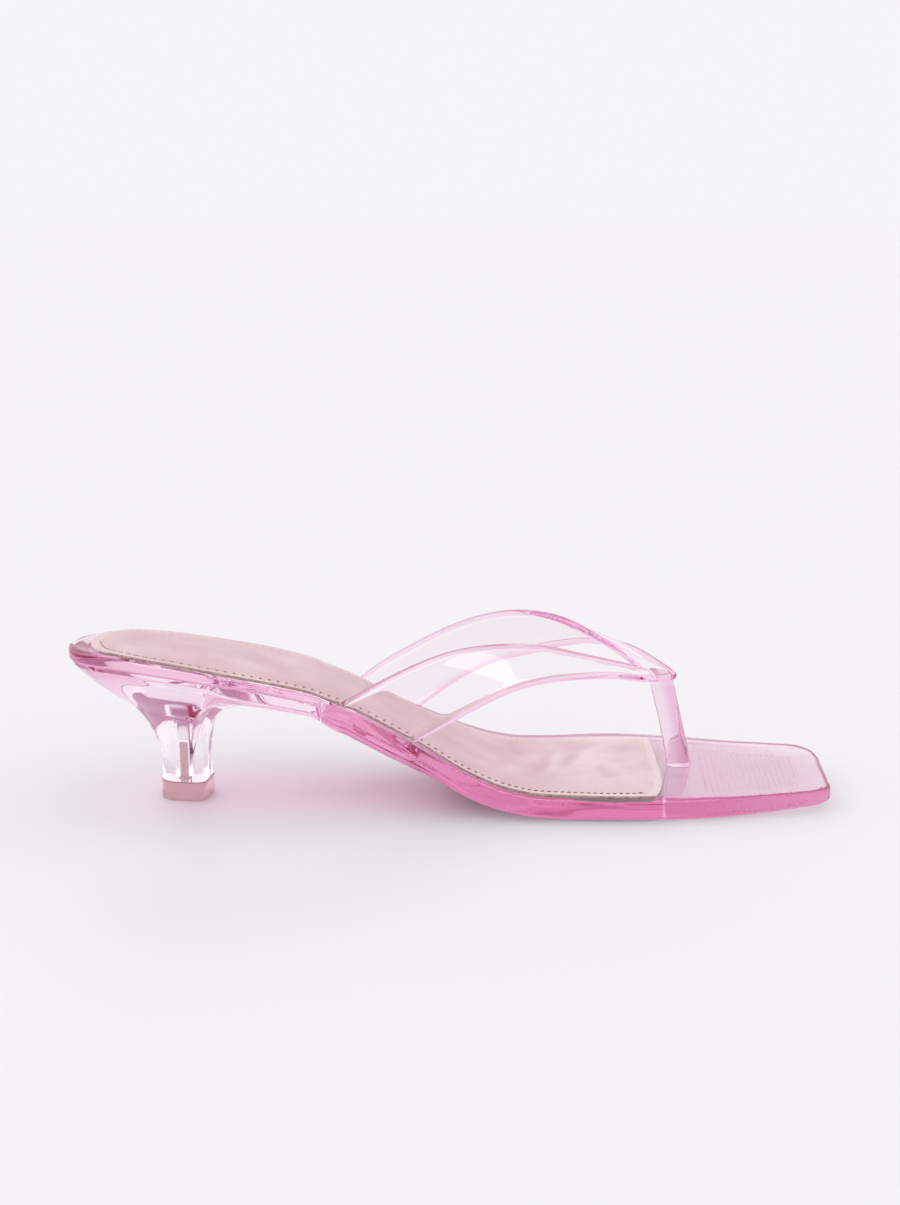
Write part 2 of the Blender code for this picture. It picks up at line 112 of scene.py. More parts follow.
def smooth_step(low, high, value):
    t = np.clip((np.asarray(value, float) - low) / (high - low), 0, 1)
    return t * t * (3 - 2 * t)


# %% [markdown]
# ## A skin over rows of loops
# Sole, insole, heel and straps all change shape along their length, which extrude and bevel can't follow.
# So a grid primitive is added, one row of its points for each section, and the points are moved to the
# section's loop. Merging the seam and filling the two ends then closes it into a solid.


# %% Skin, carve and finish helpers
def skin(name, loops):
    rows, columns = loops.shape[:2]
    bpy.ops.object.select_all(action="DESELECT")
    bpy.ops.mesh.primitive_grid_add(x_subdivisions=columns, y_subdivisions=rows - 1, size=1)
    piece = bpy.context.object
    piece.name = name
    piece.data.name = name
    seamed = np.concatenate([loops, loops[:, :1]], axis=1)
    points = seamed.reshape(-1, 3) * MM + PLACE
    piece.data.vertices.foreach_set("co", points.astype(np.float32).ravel())
    piece.data.update()
    bpy.ops.object.mode_set(mode="EDIT")
    bpy.ops.mesh.select_all(action="SELECT")
    bpy.ops.mesh.remove_doubles(threshold=0.000001)
    bpy.ops.mesh.fill_holes(sides=0)
    bpy.ops.mesh.normals_make_consistent(inside=False)
    if bmesh.from_edit_mesh(piece.data).calc_volume(signed=True) < 0:
        bpy.ops.mesh.flip_normals()
    bpy.ops.object.mode_set(mode="OBJECT")
    print(name, "skin has", len(piece.data.polygons), "faces")
    return piece


def carve(piece, tool, operation):
    step = piece.modifiers.new(operation.lower(), "BOOLEAN")
    step.operation = operation
    step.solver = "EXACT"
    step.object = tool
    bpy.context.view_layer.objects.active = piece
    bpy.ops.object.modifier_apply(modifier=step.name)
    bpy.data.objects.remove(tool, do_unlink=True)


def smooth(piece, degrees):
    bpy.ops.object.select_all(action="DESELECT")
    piece.select_set(True)
    bpy.context.view_layer.objects.active = piece
    bpy.ops.object.shade_smooth_by_angle(angle=math.radians(degrees))


def paint(piece, name, domain, values):
    layer = piece.data.attributes.new(name, "FLOAT", domain)
    layer.data.foreach_set("value", np.asarray(values, np.float32))


def face_middles(piece):
    middles = np.zeros(len(piece.data.polygons) * 3, np.float32)
    normals = np.zeros(len(piece.data.polygons) * 3, np.float32)
    piece.data.polygons.foreach_get("center", middles)
    piece.data.polygons.foreach_get("normal", normals)
    return (middles.reshape(-1, 3) - PLACE) / MM, normals.reshape(-1, 3)


def corner_places(piece):
    corners = np.zeros(len(piece.data.vertices) * 3, np.float32)
    piece.data.vertices.foreach_get("co", corners)
    return (corners.reshape(-1, 3) - PLACE) / MM


def stand_for(piece, node):
    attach(piece, "root")
    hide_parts(node)


# %% [markdown]
# ## The sole's outline and side profile
# The sole is one moulding: a heel seat, an arched waist and a flat forefoot that ends in a square toe.
# One table gives its outline on the floor, another its heights from the side, with the ledge that runs
# round the waist under the straps.

# %% Sole tables
# Outer side x, y and inner side x, y
OUTLINE_ROWS = (
    (-119.5, -3.0, -119.5, -3.0),
    (-118.3, -9.4, -118.3, 3.4),
    (-115.0, -16.2, -115.0, 10.2),
    (-108.0, -22.0, -108.0, 16.2),
    (-96.0, -26.6, -96.0, 21.2),
    (-80.0, -29.2, -80.0, 23.7),
    (-60.0, -30.4, -60.0, 25.3),
    (-38.8, -30.06, -38.8, 25.37),
    (-38.5, -30.05, -38.5, 25.36),
    (-22.0, -28.7, -22.0, 24.2),
    (-8.0, -30.0, -8.0, 25.8),
    (4.0, -34.4, 4.0, 31.8),
    (18.0, -37.4, 18.0, 36.6),
    (40.0, -38.7, 40.0, 39.8),
    (62.0, -39.8, 62.0, 41.4),
    (80.0, -39.0, 80.0, 38.8),
    (100.0, -35.2, 100.0, 32.2),
    (113.0, -32.6, 114.5, 27.6),
    (119.6, -30.4, 122.2, 24.0),
    (122.8, -26.6, 125.9, 18.2),
    (124.0, -19.0, 126.9, 10.0),
    (125.8, -2.0, 125.8, -2.0),
)
# x, top height, bottom height, lower edge height, ledge depth, ledge step
PROFILE_ROWS = (
    (-120.0, 50.8, 46.3, 0.9, 2.6, 0.0),
    (-106.0, 50.6, 46.1, 0.9, 2.6, 0.0),
    (-90.0, 48.8, 44.5, 0.9, 2.5, 0.0),
    (-70.0, 45.3, 41.5, 0.8, 2.2, 0.0),
    (-50.0, 41.2, 37.9, 0.7, 1.9, 0.1),
    (-38.8, 37.8, 34.6, 0.7, 1.9, 0.5),
    (-38.5, 37.6, 29.1, 1.2, 5.0, 1.4),
    (-30.0, 34.2, 24.6, 1.4, 5.0, 1.5),
    (-20.0, 29.0, 18.8, 1.5, 5.0, 1.5),
    (-10.0, 23.6, 13.6, 1.5, 5.0, 1.3),
    (0.0, 17.9, 8.9, 1.5, 4.6, 0.5),
    (10.0, 12.9, 4.9, 1.5, 3.8, 0.1),
    (20.0, 9.3, 2.2, 1.5, 3.2, 0.0),
    (30.0, 7.5, 0.6, 1.5, 3.0, 0.0),
    (42.0, 7.1, 0.0, 1.4, 3.0, 0.0),
    (62.0, 7.0, 0.0, 1.4, 3.0, 0.0),
    (86.0, 6.7, 0.0, 1.4, 3.0, 0.0),
    (100.0, 6.6, 0.4, 1.3, 2.8, 0.0),
    (112.0, 6.7, 1.1, 1.2, 2.7, 0.0),
    (127.0, 7.0, 2.0, 1.0, 2.5, 0.0),
)
JOINT_BACK = -38.8
JOINT_FRONT = -38.5
LOWER_EDGE_INSET = 2.6
SEATED_INSET = 1.3
SEATED_HEIGHT = 2.0
HEEL_TOP_ROUND = 0.7
WAIST_ROUND_INSET = 3.2
WAIST_ROUND_HEIGHT = 2.2
TOP_EDGE_ROUND = 1.0
LOWER_LEVELS = 12
TOP_LEVELS = 6
LEDGE_CLEARANCE = 0.3
# Share of the ledge's step and height over the ledge
LEDGE_LEVELS = (
    (0.0, -0.25),
    (0.12, -0.05),
    (0.88, 0.10),
    (1.0, 0.30),
)
# x where a change along the sole begins and x where it is done
WAIST_FADE = (16, -6)
HEEL_ROUND_FADE = (-60, -105)
FLUSH_FADE = (-26, JOINT_FRONT)
# Distance from the joint within which the sides are inset straight across
JOINT_FADE = (1.5, 6.0)
OUTER = [row[0:2] for row in OUTLINE_ROWS]
INNER = [row[2:4] for row in OUTLINE_ROWS]
print("sole length", OUTER[-1][0] - OUTER[0][0], "mm along its middle")


# %% Heights and sides of the sole
def sole_top(x):
    return by_x(PROFILE_ROWS, 1, x)


def sole_bottom(x):
    return by_x(PROFILE_ROWS, 2, x)


# Outer and inner points of each section with their inward directions; lean slants the sections
def sole_sides(places, lean):
    outer = curve_at(OUTER, places - lean)
    inner = curve_at(INNER, places + lean)
    ring = np.concatenate([outer, inner[-2:0:-1]])
    along = np.roll(ring, -1, axis=0) - np.roll(ring, 1, axis=0)
    along /= np.linalg.norm(along, axis=1)[:, None]
    inward = np.stack([-along[:, 1], along[:, 0]], axis=1)
    inward[:, 0] *= smooth_step(*JOINT_FADE, np.abs(ring[:, 0] - JOINT_FRONT))
    count = len(places)
    inner_inward = np.concatenate([inward[:1], inward[count:][::-1], inward[count - 1:count]])
    return outer, inner, inward[:count], inner_inward


# Inset and height of the sole's side at each level, from the bottom face up to the top face
def side_levels(x, grow):
    top = sole_top(x)
    bottom = sole_bottom(x)
    edge = by_x(PROFILE_ROWS, 3, x)
    ledge = top - by_x(PROFILE_ROWS, 4, x)
    step = by_x(PROFILE_ROWS, 5, x)
    waist = smooth_step(JOINT_BACK, JOINT_FRONT, x) * smooth_step(*WAIST_FADE, x)
    seated = smooth_step(JOINT_FRONT, JOINT_BACK, x)
    inset = (LOWER_EDGE_INSET + WAIST_ROUND_INSET * waist) * (1 - seated) + SEATED_INSET * seated
    edge = (edge + WAIST_ROUND_HEIGHT * waist) * (1 - seated) + SEATED_HEIGHT * seated
    edge = np.minimum(edge, ledge - LEDGE_CLEARANCE - bottom)
    top_round = TOP_EDGE_ROUND + HEEL_TOP_ROUND * smooth_step(*HEEL_ROUND_FADE, x)
    flush = SEATED_INSET * smooth_step(JOINT_BACK, JOINT_FRONT, x) * smooth_step(*FLUSH_FADE, x)
    step = np.maximum(step, flush)
    levels = []
    for turn in np.radians(np.linspace(0, 90, LOWER_LEVELS)):
        levels.append((flush + inset * (1 - np.sin(turn)), bottom + edge * (1 - np.cos(turn)) - grow))
    for share, rise in LEDGE_LEVELS:
        levels.append((flush + (step - flush) * share, ledge + rise + grow))
    for turn in np.radians(np.linspace(0, 90, TOP_LEVELS)):
        height = top - top_round * (1 - np.sin(turn)) + grow * np.sin(turn)
        levels.append((step + top_round * (1 - np.cos(turn)), height))
    return levels


# %% [markdown]
# ## Tread under the toe and the ball
# A panel of fine grooves under the toe shows through the clear plastic, and a finer tread runs out to
# the edge under the ball. Both are real relief: sections are packed a third of a millimetre apart there
# and slanted the way the grooves run, and each point of the underside is lifted into its groove.

# %% Toe panel and tread
PANEL_PITCH = 1.83
PANEL_DEPTH = 0.10
GROOVE_SLANT = 0.10
PANEL_FIRST = 85.7
PANEL_LAST = 117.4
PANEL_END_FADE = 0.9
PANEL_FULL = 0.3
PANEL_SIDE_FADE = 1.5
# x, y of the panel's outer border and of its inner border
PANEL_BORDER_ROWS = (
    (80.0, -28.0, 29.0),
    (100.0, -27.0, 20.5),
    (114.0, -21.5, 14.8),
    (120.0, -18.0, 12.0),
)
TREAD_PITCH = 0.75
TREAD_DEPTH = 0.03
TREAD_EDGE_DEPTH = 0.3
TREAD_END_FADE = 2
TREAD_FIRST = 14.0
TREAD_LAST = 61.0


# 1 inside the toe panel and 0 outside it
def underside_panel(x, y):
    along = x - GROOVE_SLANT * y
    begun = smooth_step(PANEL_FIRST - PANEL_END_FADE, PANEL_FIRST - PANEL_FULL, along)
    going = smooth_step(PANEL_LAST + PANEL_END_FADE, PANEL_LAST, along)
    from_outer = smooth_step(0, PANEL_SIDE_FADE, y - by_x(PANEL_BORDER_ROWS, 1, x))
    to_inner = smooth_step(0, PANEL_SIDE_FADE, by_x(PANEL_BORDER_ROWS, 2, x) - y)
    return begun * going * from_outer * to_inner


def underside_relief(x, y, tread_depth):
    along = x - GROOVE_SLANT * y
    groove = 0.5 + 0.5 * np.cos(2 * math.pi * (along - PANEL_FIRST) / PANEL_PITCH)
    tooth = smooth_step(0.25, 0.75, 0.5 + 0.5 * np.cos(2 * math.pi * along / TREAD_PITCH))
    begun = smooth_step(TREAD_FIRST, TREAD_FIRST + TREAD_END_FADE, along)
    going = smooth_step(TREAD_LAST, TREAD_LAST - TREAD_END_FADE, along)
    return PANEL_DEPTH * groove * underside_panel(x, y) + tread_depth * tooth * (begun * going)


# %% [markdown]
# ## Sections of the sole
# Each section is one loop: up the outer side, across the top, down the inner side and back along the
# bottom. The same function with a little growth gives the room that the straps are trimmed to.

# %% Sole sections
PLAIN_STEPS = 16
TREAD_STEPS = 108
PANEL_STEPS = 66
# Rows of the outline table that are packed closer, and where the sections slant
TREAD_ROWS = (11, 12, 13)
PANEL_ROWS = (14, 15, 16, 17)
SECTION_LEAN = 0.17
LEAN_BEGINS = (11, 14)
LEAN_ENDS = (20.5, 18.5)
# Levels of the side that carry the tread, and those where it is deepest
RELIEF_LEVELS = (0, 1, 2)
DEEP_LEVELS = (1, 2)
TOP_COLUMNS = 14
BOTTOM_COLUMNS = 36


def section_places(fine):
    places = []
    for row in range(len(OUTLINE_ROWS) - 1):
        steps = PLAIN_STEPS
        if fine and row in TREAD_ROWS:
            steps = TREAD_STEPS
        if fine and row in PANEL_ROWS:
            steps = PANEL_STEPS
        places.extend(row + k / steps for k in range(steps))
    return np.array(places + [len(OUTLINE_ROWS) - 1.0])


def sole_loops(places, grow, relief):
    lean = SECTION_LEAN * smooth_step(*LEAN_BEGINS, places) * smooth_step(*LEAN_ENDS, places)
    outer, inner, outer_in, inner_in = sole_sides(places, lean)
    columns = []
    for points, inward, upward in ((outer, outer_in, True), (inner, inner_in, False)):
        x = points[:, 0]
        side = []
        for level, (inset, height) in enumerate(side_levels(x, grow)):
            plan = points + inward * (inset - grow)[:, None]
            depth = TREAD_EDGE_DEPTH if level in DEEP_LEVELS else TREAD_DEPTH
            if level in RELIEF_LEVELS:
                height = height + relief * underside_relief(plan[:, 0], plan[:, 1], depth)
            side.append(np.column_stack([plan, height]))
        columns.append(side if upward else side[::-1])
    top_from, top_to = columns[0][-1], columns[1][0]
    bottom_from, bottom_to = columns[1][-1], columns[0][0]
    top = []
    for k in range(1, TOP_COLUMNS):
        point = top_from + (top_to - top_from) * k / TOP_COLUMNS
        top.append(np.column_stack([point[:, :2], sole_top(point[:, 0]) + grow]))
    bottom = []
    for k in range(1, BOTTOM_COLUMNS):
        point = bottom_from + (bottom_to - bottom_from) * k / BOTTOM_COLUMNS
        lift = underside_relief(point[:, 0], point[:, 1], TREAD_DEPTH) * relief
        bottom.append(np.column_stack([point[:, :2], sole_bottom(point[:, 0]) - grow + lift]))
    return np.stack(columns[0] + top + columns[1] + bottom, axis=1)


# %% [markdown]
# ## The insole's outline
# The leather insole is inlaid in a shallow recess of the sole. Its sides follow the sole's edge at a
# margin, and its front is a bowed line just behind the toe post. A grid of its own is drawn over that
# outline: far from the front the grid follows the sides, and near the front it bends into the bow.

# %% Insole outline
SEAT_GAP = 0.3
INSOLE_THICKNESS = 1.6
RECESS_DEPTH = 1.2
INSOLE_END_X = 75.0
INSOLE_CORNER = 2.2
INSOLE_PROUD = SEAT_GAP - RECESS_DEPTH + INSOLE_THICKNESS
# x, margin on the outer side, margin on the inner side
MARGIN_ROWS = (
    (-120.0, 7.0, 7.0),
    (-108.0, 3.6, 3.6),
    (-95.0, 2.3, 2.3),
    (-60.0, 2.3, 2.3),
    (-40.0, 3.4, 3.4),
    (-8.0, 3.4, 4.0),
    (20.0, 3.2, 6.5),
    (45.0, 2.6, 8.0),
    (76.0, 1.8, 8.0),
)
# y, x of the front edge
INSOLE_FRONT_ROWS = (
    (-39.0, 65.6),
    (-30.0, 68.7),
    (-16.0, 71.4),
    (5.0, 73.2),
    (31.0, 74.8),
)
END_ROWS = (14, 15)
BACK_STEPS = 90
FRONT_STEPS = 46
FINE_FROM = 8
CROWDED_FROM = 13.6
CROWDING = 1.6
CORNER_CUT = 0.7
EDGE_SHARE = 0.36
BOW_FROM = 20
EDGE_STEPS = (0.0, 0.12, 0.3, 0.6, 1.1, 1.7, 2.2, 2.6, 3.0, 3.4, 3.8, 4.4, 5.4, 7.0, 9.5)
MIDDLE_COLUMNS = 20


# Places of the insole's grid: rows from heel to front, columns from the outer to the inner side
def insole_grid(grow):
    last = np.interp(INSOLE_END_X, [OUTER[row][0] for row in END_ROWS], END_ROWS)
    heel = np.linspace(0, FINE_FROM, BACK_STEPS)
    waist = np.linspace(FINE_FROM, CROWDED_FROM, BACK_STEPS)[1:]
    front = last - (last - CROWDED_FROM) * np.linspace(1, 0, FRONT_STEPS)[1:] ** CROWDING
    places = np.concatenate([heel, waist, front])
    beyond = np.arange(END_ROWS[1], len(OUTLINE_ROWS))
    outer, inner, outer_in, inner_in = sole_sides(np.append(places, beyond), 0.0)
    outer, inner = outer[:len(places)], inner[:len(places)]
    outer_in, inner_in = outer_in[:len(places)], inner_in[:len(places)]
    x = outer[:, 0]
    to_end = np.clip((x - x[-1] + INSOLE_CORNER) / INSOLE_CORNER, 0, 1)
    corner = INSOLE_CORNER * (1 - np.sqrt(1 - to_end ** 2)) * CORNER_CUT
    outer = outer + outer_in * (by_x(MARGIN_ROWS, 1, x) - grow + corner)[:, None]
    inner = inner + inner_in * (by_x(MARGIN_ROWS, 2, x) - grow + corner)[:, None]
    width = np.linalg.norm(inner - outer, axis=1)
    shares = []
    reach = np.minimum(EDGE_STEPS[-1], width * EDGE_SHARE)
    for step in EDGE_STEPS:
        shares.append(step / EDGE_STEPS[-1] * reach / np.maximum(width, 1e-9))
    middle = [shares[-1] + (1 - 2 * shares[-1]) * k / MIDDLE_COLUMNS for k in range(1, MIDDLE_COLUMNS)]
    shares = np.stack(shares + middle + [1 - share for share in reversed(shares)], axis=1)
    plan = outer[:, None] + (inner - outer)[:, None] * shares[:, :, None]
    bend = smooth_step(BOW_FROM, INSOLE_END_X, plan[:, :, 0])
    plan[:, :, 0] += bend * (by_x(INSOLE_FRONT_ROWS, 1, plan[:, :, 1]) + grow - INSOLE_END_X)
    return plan


def insole_edge(plan):
    return np.concatenate([plan[:, 0], plan[-1, 1:-1], plan[::-1, -1][:-1]])


INSOLE_PLAN = insole_grid(0.0)
INSOLE_EDGE = insole_edge(INSOLE_PLAN)
print("insole outline has", len(INSOLE_EDGE), "points, front at x", round(float(INSOLE_EDGE[:, 0].max()), 1))

# %% [markdown]
# ## Make the sole
# The sole's skin is cut by a plate of the insole's outline, grown by the seat gap, so the recess walls
# and floor show through the clear side as they do on the real sandal.


# %% Sole with its recess
RECESS_TOOL_TOP = 2.0
SOLE_CREASE = 40


def plate_loops(plan, low, high):
    loops = []
    for row in plan:
        top = np.column_stack([row, sole_top(row[:, 0]) + high])
        bottom = np.column_stack([row, sole_top(row[:, 0]) + low])
        loops.append(np.concatenate([top, bottom[::-1]]))
    return np.array(loops)


sole = skin("sole_body", sole_loops(section_places(True), 0.0, 1.0))
recess = skin("recess", plate_loops(insole_grid(SEAT_GAP)[::2, ::2], -RECESS_DEPTH, RECESS_TOOL_TOP))
carve(sole, recess, "DIFFERENCE")
smooth(sole, SOLE_CREASE)
stand_for(sole, "sole")
print("sole faces after the cut:", len(sole.data.polygons))

# %% [markdown]
# ## Relief of the insole
# Leather that is stitched down sinks along the seam, swells a little inside it and turns over at its
# edge. Soft creases cross the ball where a foot has pressed it. Each crease is given as a row:
# where it lies, which way it runs, how long and wide it is, and how deep.

# %% Insole relief
SEAM_INSET = 3.1
FRONT_SEAM_INSETS = (2.6, 3.9)
SEAM_DEPTH = 0.22
SEAM_WIDTH = 0.55
EDGE_ROUND = 0.6
SWELL = 0.45
SWELL_WIDTH = 5.0
FRONT_ZONE = 5.5
FRONT_SEAM_START = 2.3
CREASE_BOW = 0.012
CREASE_MARGIN = (4, 8)
# x, y, direction in degrees, half length, half width, height (below zero for a trough)
CREASE_ROWS = (
    (33.0, -4.0, 74.0, 19.0, 2.4, -0.62),
    (37.5, -2.0, 78.0, 17.0, 2.0, 0.48),
    (42.0, 3.0, 66.0, 15.0, 2.2, -0.55),
    (46.5, 2.0, 70.0, 13.0, 1.9, 0.40),
    (52.0, -10.0, 100.0, 12.0, 2.0, -0.42),
    (57.0, -8.0, 98.0, 11.0, 2.4, 0.36),
    (26.0, 10.0, 112.0, 12.0, 2.6, -0.44),
    (48.0, 18.0, 40.0, 10.0, 2.2, -0.44),
    (61.0, 14.0, 58.0, 9.0, 2.0, -0.34),
    (20.0, -16.0, 62.0, 11.0, 2.2, 0.34),
    (-96.0, -2.0, 90.0, 12.0, 6.0, -0.25),
)


# Distance from each point to a closed line of points
def distance_to(line, points):
    start = line
    step = np.roll(line, -1, axis=0) - line
    length = np.maximum((step ** 2).sum(axis=1), 1e-12)
    nearest = np.full(len(points), 1e9)
    for origin, run, size in zip(start, step, length):
        t = np.clip(((points - origin) @ run) / size, 0, 1)
        gap = points - origin - t[:, None] * run
        nearest = np.minimum(nearest, (gap ** 2).sum(axis=1))
    return np.sqrt(nearest)


def insole_front(y):
    return np.interp(y, INSOLE_PLAN[-1, :, 1], INSOLE_PLAN[-1, :, 0])


# Troughs and ridges of the creases, away from the edge
def crease_height(x, y, inside):
    height = np.zeros(len(x))
    for row_x, row_y, degrees, half_length, half_width, depth in CREASE_ROWS:
        turn = math.radians(degrees)
        along = (x - row_x) * math.cos(turn) + (y - row_y) * math.sin(turn)
        across = (y - row_y) * math.cos(turn) - (x - row_x) * math.sin(turn)
        across = across - CREASE_BOW * along ** 2 / half_width
        fade = smooth_step(1.0, 0.2, np.abs(along) / half_length)
        height = height + depth * np.exp(-(across / half_width) ** 2) * fade
    return height * smooth_step(*CREASE_MARGIN, inside)


def insole_height(plan):
    points = plan.reshape(-1, 2)
    x, y = points[:, 0], points[:, 1]
    inside = distance_to(INSOLE_EDGE, points)
    to_front = insole_front(y) - x
    near_edge = np.maximum(EDGE_ROUND - inside, 0)
    turned = EDGE_ROUND - np.sqrt(np.maximum(EDGE_ROUND ** 2 - near_edge ** 2, 0))
    swell = SWELL * smooth_step(SEAM_INSET, SEAM_INSET + SWELL_WIDTH, inside)
    side_seam = np.exp(-((inside - SEAM_INSET) / SEAM_WIDTH) ** 2) * (to_front > FRONT_ZONE)
    front_seam = sum(np.exp(-((to_front - inset) / SEAM_WIDTH) ** 2) for inset in FRONT_SEAM_INSETS)
    front_seam = front_seam * (inside > FRONT_SEAM_START) * (to_front < FRONT_ZONE)
    sunk = SEAM_DEPTH * np.maximum(side_seam, front_seam)
    height = sole_top(x) + INSOLE_PROUD - turned + swell - sunk + crease_height(x, y, inside)
    return height.reshape(plan.shape[:2])


# %% [markdown]
# ## Make the insole
# The relief gives the upper skin, and a plain lower skin closes it underneath. A value is stored at each
# point of the
# mesh: painted shade in the folds of the creases and painted light on their ridges, painted light that makes
# the front paler, and the paler margin outside the seam. The leather finish reads it later.

# %% Insole skin
# Painted shade and light of the creases, painted light of the front, and the paler seam margin
CREASE_PAINTED_SHADING = 0.45
FRONT_PAINTED_LIGHT = 0.36
FRONT_PAINTED_LIGHT_FADE = (15, 62)
MARGIN_TONE = 0.2
MARGIN_FADE = 0.6
INSOLE_CREASE = 50
insole_top = insole_height(INSOLE_PLAN)
insole_low = sole_top(INSOLE_PLAN[:, :, 0]) + SEAT_GAP - RECESS_DEPTH
upper_points = np.concatenate([INSOLE_PLAN, insole_top[:, :, None]], axis=2)
lower_points = np.concatenate([INSOLE_PLAN, insole_low[:, :, None]], axis=2)[:, ::4]
insole = skin("insole_leather", np.concatenate([upper_points, lower_points[:, ::-1]], axis=1))
smooth(insole, INSOLE_CREASE)
stand_for(insole, "insole")
spots = corner_places(insole)
from_edge = distance_to(INSOLE_EDGE, spots[:, :2])
# Painted shade in the folds and painted light on the ridges of the creases
tone_and_painted_light = CREASE_PAINTED_SHADING * crease_height(spots[:, 0], spots[:, 1], from_edge)
# Painted light: paler towards the front
tone_and_painted_light += FRONT_PAINTED_LIGHT * smooth_step(*FRONT_PAINTED_LIGHT_FADE, spots[:, 0])
tone_and_painted_light += MARGIN_TONE * smooth_step(SEAM_INSET, SEAM_INSET - MARGIN_FADE, from_edge)
paint(insole, "tone_and_painted_light", "POINT", tone_and_painted_light)
print("leather tone from", round(float(tone_and_painted_light.min()), 2), "to", round(float(tone_and_painted_light.max()), 2))

# %% [markdown]
# ## Stitches
# A sewn seam runs round the insole, with two rows across the front. One stitch is modelled from a small
# ball, drawn out along its length, then copied along the seam. Between two stitches of the outer side sits
# a dark slanting slit, made and copied in the same way: a needle hole darkened with painted shade for the
# shadow that the stitches cast on that side.

# %% One stitch and one slit
STITCH_LENGTH = 1.5
STITCH_WIDTH = 0.7
STITCH_HEIGHT = 0.45
SLIT_LENGTH = 1.7
SLIT_WIDTH = 0.5
SLIT_HEIGHT = 0.42
STITCH_LIFT = 0.08
SLIT_LIFT = 0.18
SLIT_TURN = math.radians(12)
SLIT_SIDE_Y = -3.0
# x, length of a stitch with its gap
PITCH_ROWS = (
    (-120.0, 2.8),
    (-60.0, 2.7),
    (20.0, 2.1),
    (75.0, 2.0),
)


def small_ball(name, length, width, height):
    bpy.ops.object.select_all(action="DESELECT")
    bpy.ops.mesh.primitive_uv_sphere_add(segments=8, ring_count=6, radius=0.5 * MM)
    piece = bpy.context.object
    piece.name = name
    bpy.ops.object.mode_set(mode="EDIT")
    bpy.ops.mesh.select_all(action="SELECT")
    bpy.ops.transform.rotate(value=math.pi / 2, orient_axis="Y", center_override=(0, 0, 0))
    bpy.ops.transform.resize(value=(length, width, height), center_override=(0, 0, 0))
    bpy.ops.object.mode_set(mode="OBJECT")
    return piece


stitch = small_ball("stitch", STITCH_LENGTH, STITCH_WIDTH, STITCH_HEIGHT)
slit_and_shade = small_ball("slit_and_shade", SLIT_LENGTH, SLIT_WIDTH, SLIT_HEIGHT)
print("one stitch has", len(stitch.data.polygons), "faces")


# %% Seam lines
SEAM_SLACK = 0.15
FRONT_SEAM_POINTS = 60
SEAM_CREASE = 60


# Marks along a line: one for each stitch and one for the gap after it
def evenly(line, pitch):
    runs = np.linalg.norm(np.diff(line, axis=0), axis=1) / pitch
    reach = np.concatenate([[0], np.cumsum(runs)])
    count = int(reach[-1])
    marks = np.linspace(0, reach[-1], count * 2 + 1)
    return np.column_stack([np.interp(marks, reach, line[:, 0]), np.interp(marks, reach, line[:, 1])])


def inset_line(inset):
    ring = evenly(np.concatenate([INSOLE_EDGE, INSOLE_EDGE[:1]]), 1.0)[:-1]
    along = np.roll(ring, -3, axis=0) - np.roll(ring, 3, axis=0)
    along /= np.linalg.norm(along, axis=1)[:, None]
    inward = np.stack([-along[:, 1], along[:, 0]], axis=1)
    moved = ring + inward * inset
    return moved[distance_to(INSOLE_EDGE, moved) > inset - SEAM_SLACK]


whole = inset_line(SEAM_INSET)
ahead = insole_front(whole[:, 1]) - whole[:, 0]
side_seam_line = whole[ahead > FRONT_SEAM_INSETS[1]]
start = int(np.argmax(np.linalg.norm(np.diff(side_seam_line, axis=0), axis=1))) + 1
side_seam_line = np.roll(side_seam_line, -start, axis=0)
seam_lines = [side_seam_line]
front_y = np.linspace(side_seam_line[0][1], side_seam_line[-1][1], FRONT_SEAM_POINTS)
for inset in FRONT_SEAM_INSETS:
    seam_lines.append(np.column_stack([insole_front(front_y) - inset, front_y]))
for line in seam_lines:
    print("seam line of", round(float(np.linalg.norm(np.diff(line, axis=0), axis=1).sum())), "mm")


# %% Sew the seams
# A turned pattern is a dark slit with painted shade and lies level in the gaps; a straight one climbs with
# the leather
def sew(pattern, name, line, turn, lift):
    marks = evenly(line, by_x(PITCH_ROWS, 1, line[1:, 0]))
    heights = insole_height(marks[:, None])[:, 0]
    copies = []
    for k in range(1 if turn else 0, len(marks) - 1, 2):
        run = marks[min(k + 1, len(marks) - 1)] - marks[max(k - 1, 0)]
        rise = heights[min(k + 1, len(marks) - 1)] - heights[max(k - 1, 0)]
        heading = math.atan2(run[1], run[0]) + turn
        climb = math.atan2(rise, np.linalg.norm(run)) if not turn else 0.0
        copy = pattern.copy()
        copy.data = pattern.data.copy()
        bpy.context.scene.collection.objects.link(copy)
        copy.rotation_euler = (0, -climb, heading)
        copy.location = np.array([marks[k][0], marks[k][1], heights[k] + lift]) * MM + PLACE
        copies.append(copy)
    bpy.ops.object.select_all(action="DESELECT")
    for copy in copies:
        copy.select_set(True)
    bpy.context.view_layer.objects.active = copies[0]
    bpy.ops.object.transform_apply(location=True, rotation=True, scale=True)
    bpy.ops.object.join()
    seam = bpy.context.object
    seam.name = name
    smooth(seam, SEAM_CREASE)
    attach(seam, "root")
    return seam


threads = []
for number, line in enumerate(seam_lines):
    threads.append(sew(stitch, "seam_thread_%d" % (number + 1), line, 0.0, STITCH_LIFT))
# The dark slits, with their painted shade, go on the outer side only
near_side_line = side_seam_line[side_seam_line[:, 1] < SLIT_SIDE_Y]
slits_and_shade = sew(slit_and_shade, "seam_slits_and_painted_shade", near_side_line, SLIT_TURN, SLIT_LIFT)
for pattern in (stitch, slit_and_shade):
    bpy.data.objects.remove(pattern, do_unlink=True)
print("seams sewn:", [len(piece.data.polygons) for piece in threads])

# %% [markdown]
# ## The heel
# The kitten heel is a clear bowl under the seat that thins to a flange in front and draws down to a slim
# stem with a flat breast. Spokes go out from the stem's axis, and each ring of the skin lies at a share
# of the way from the stem to the rim.

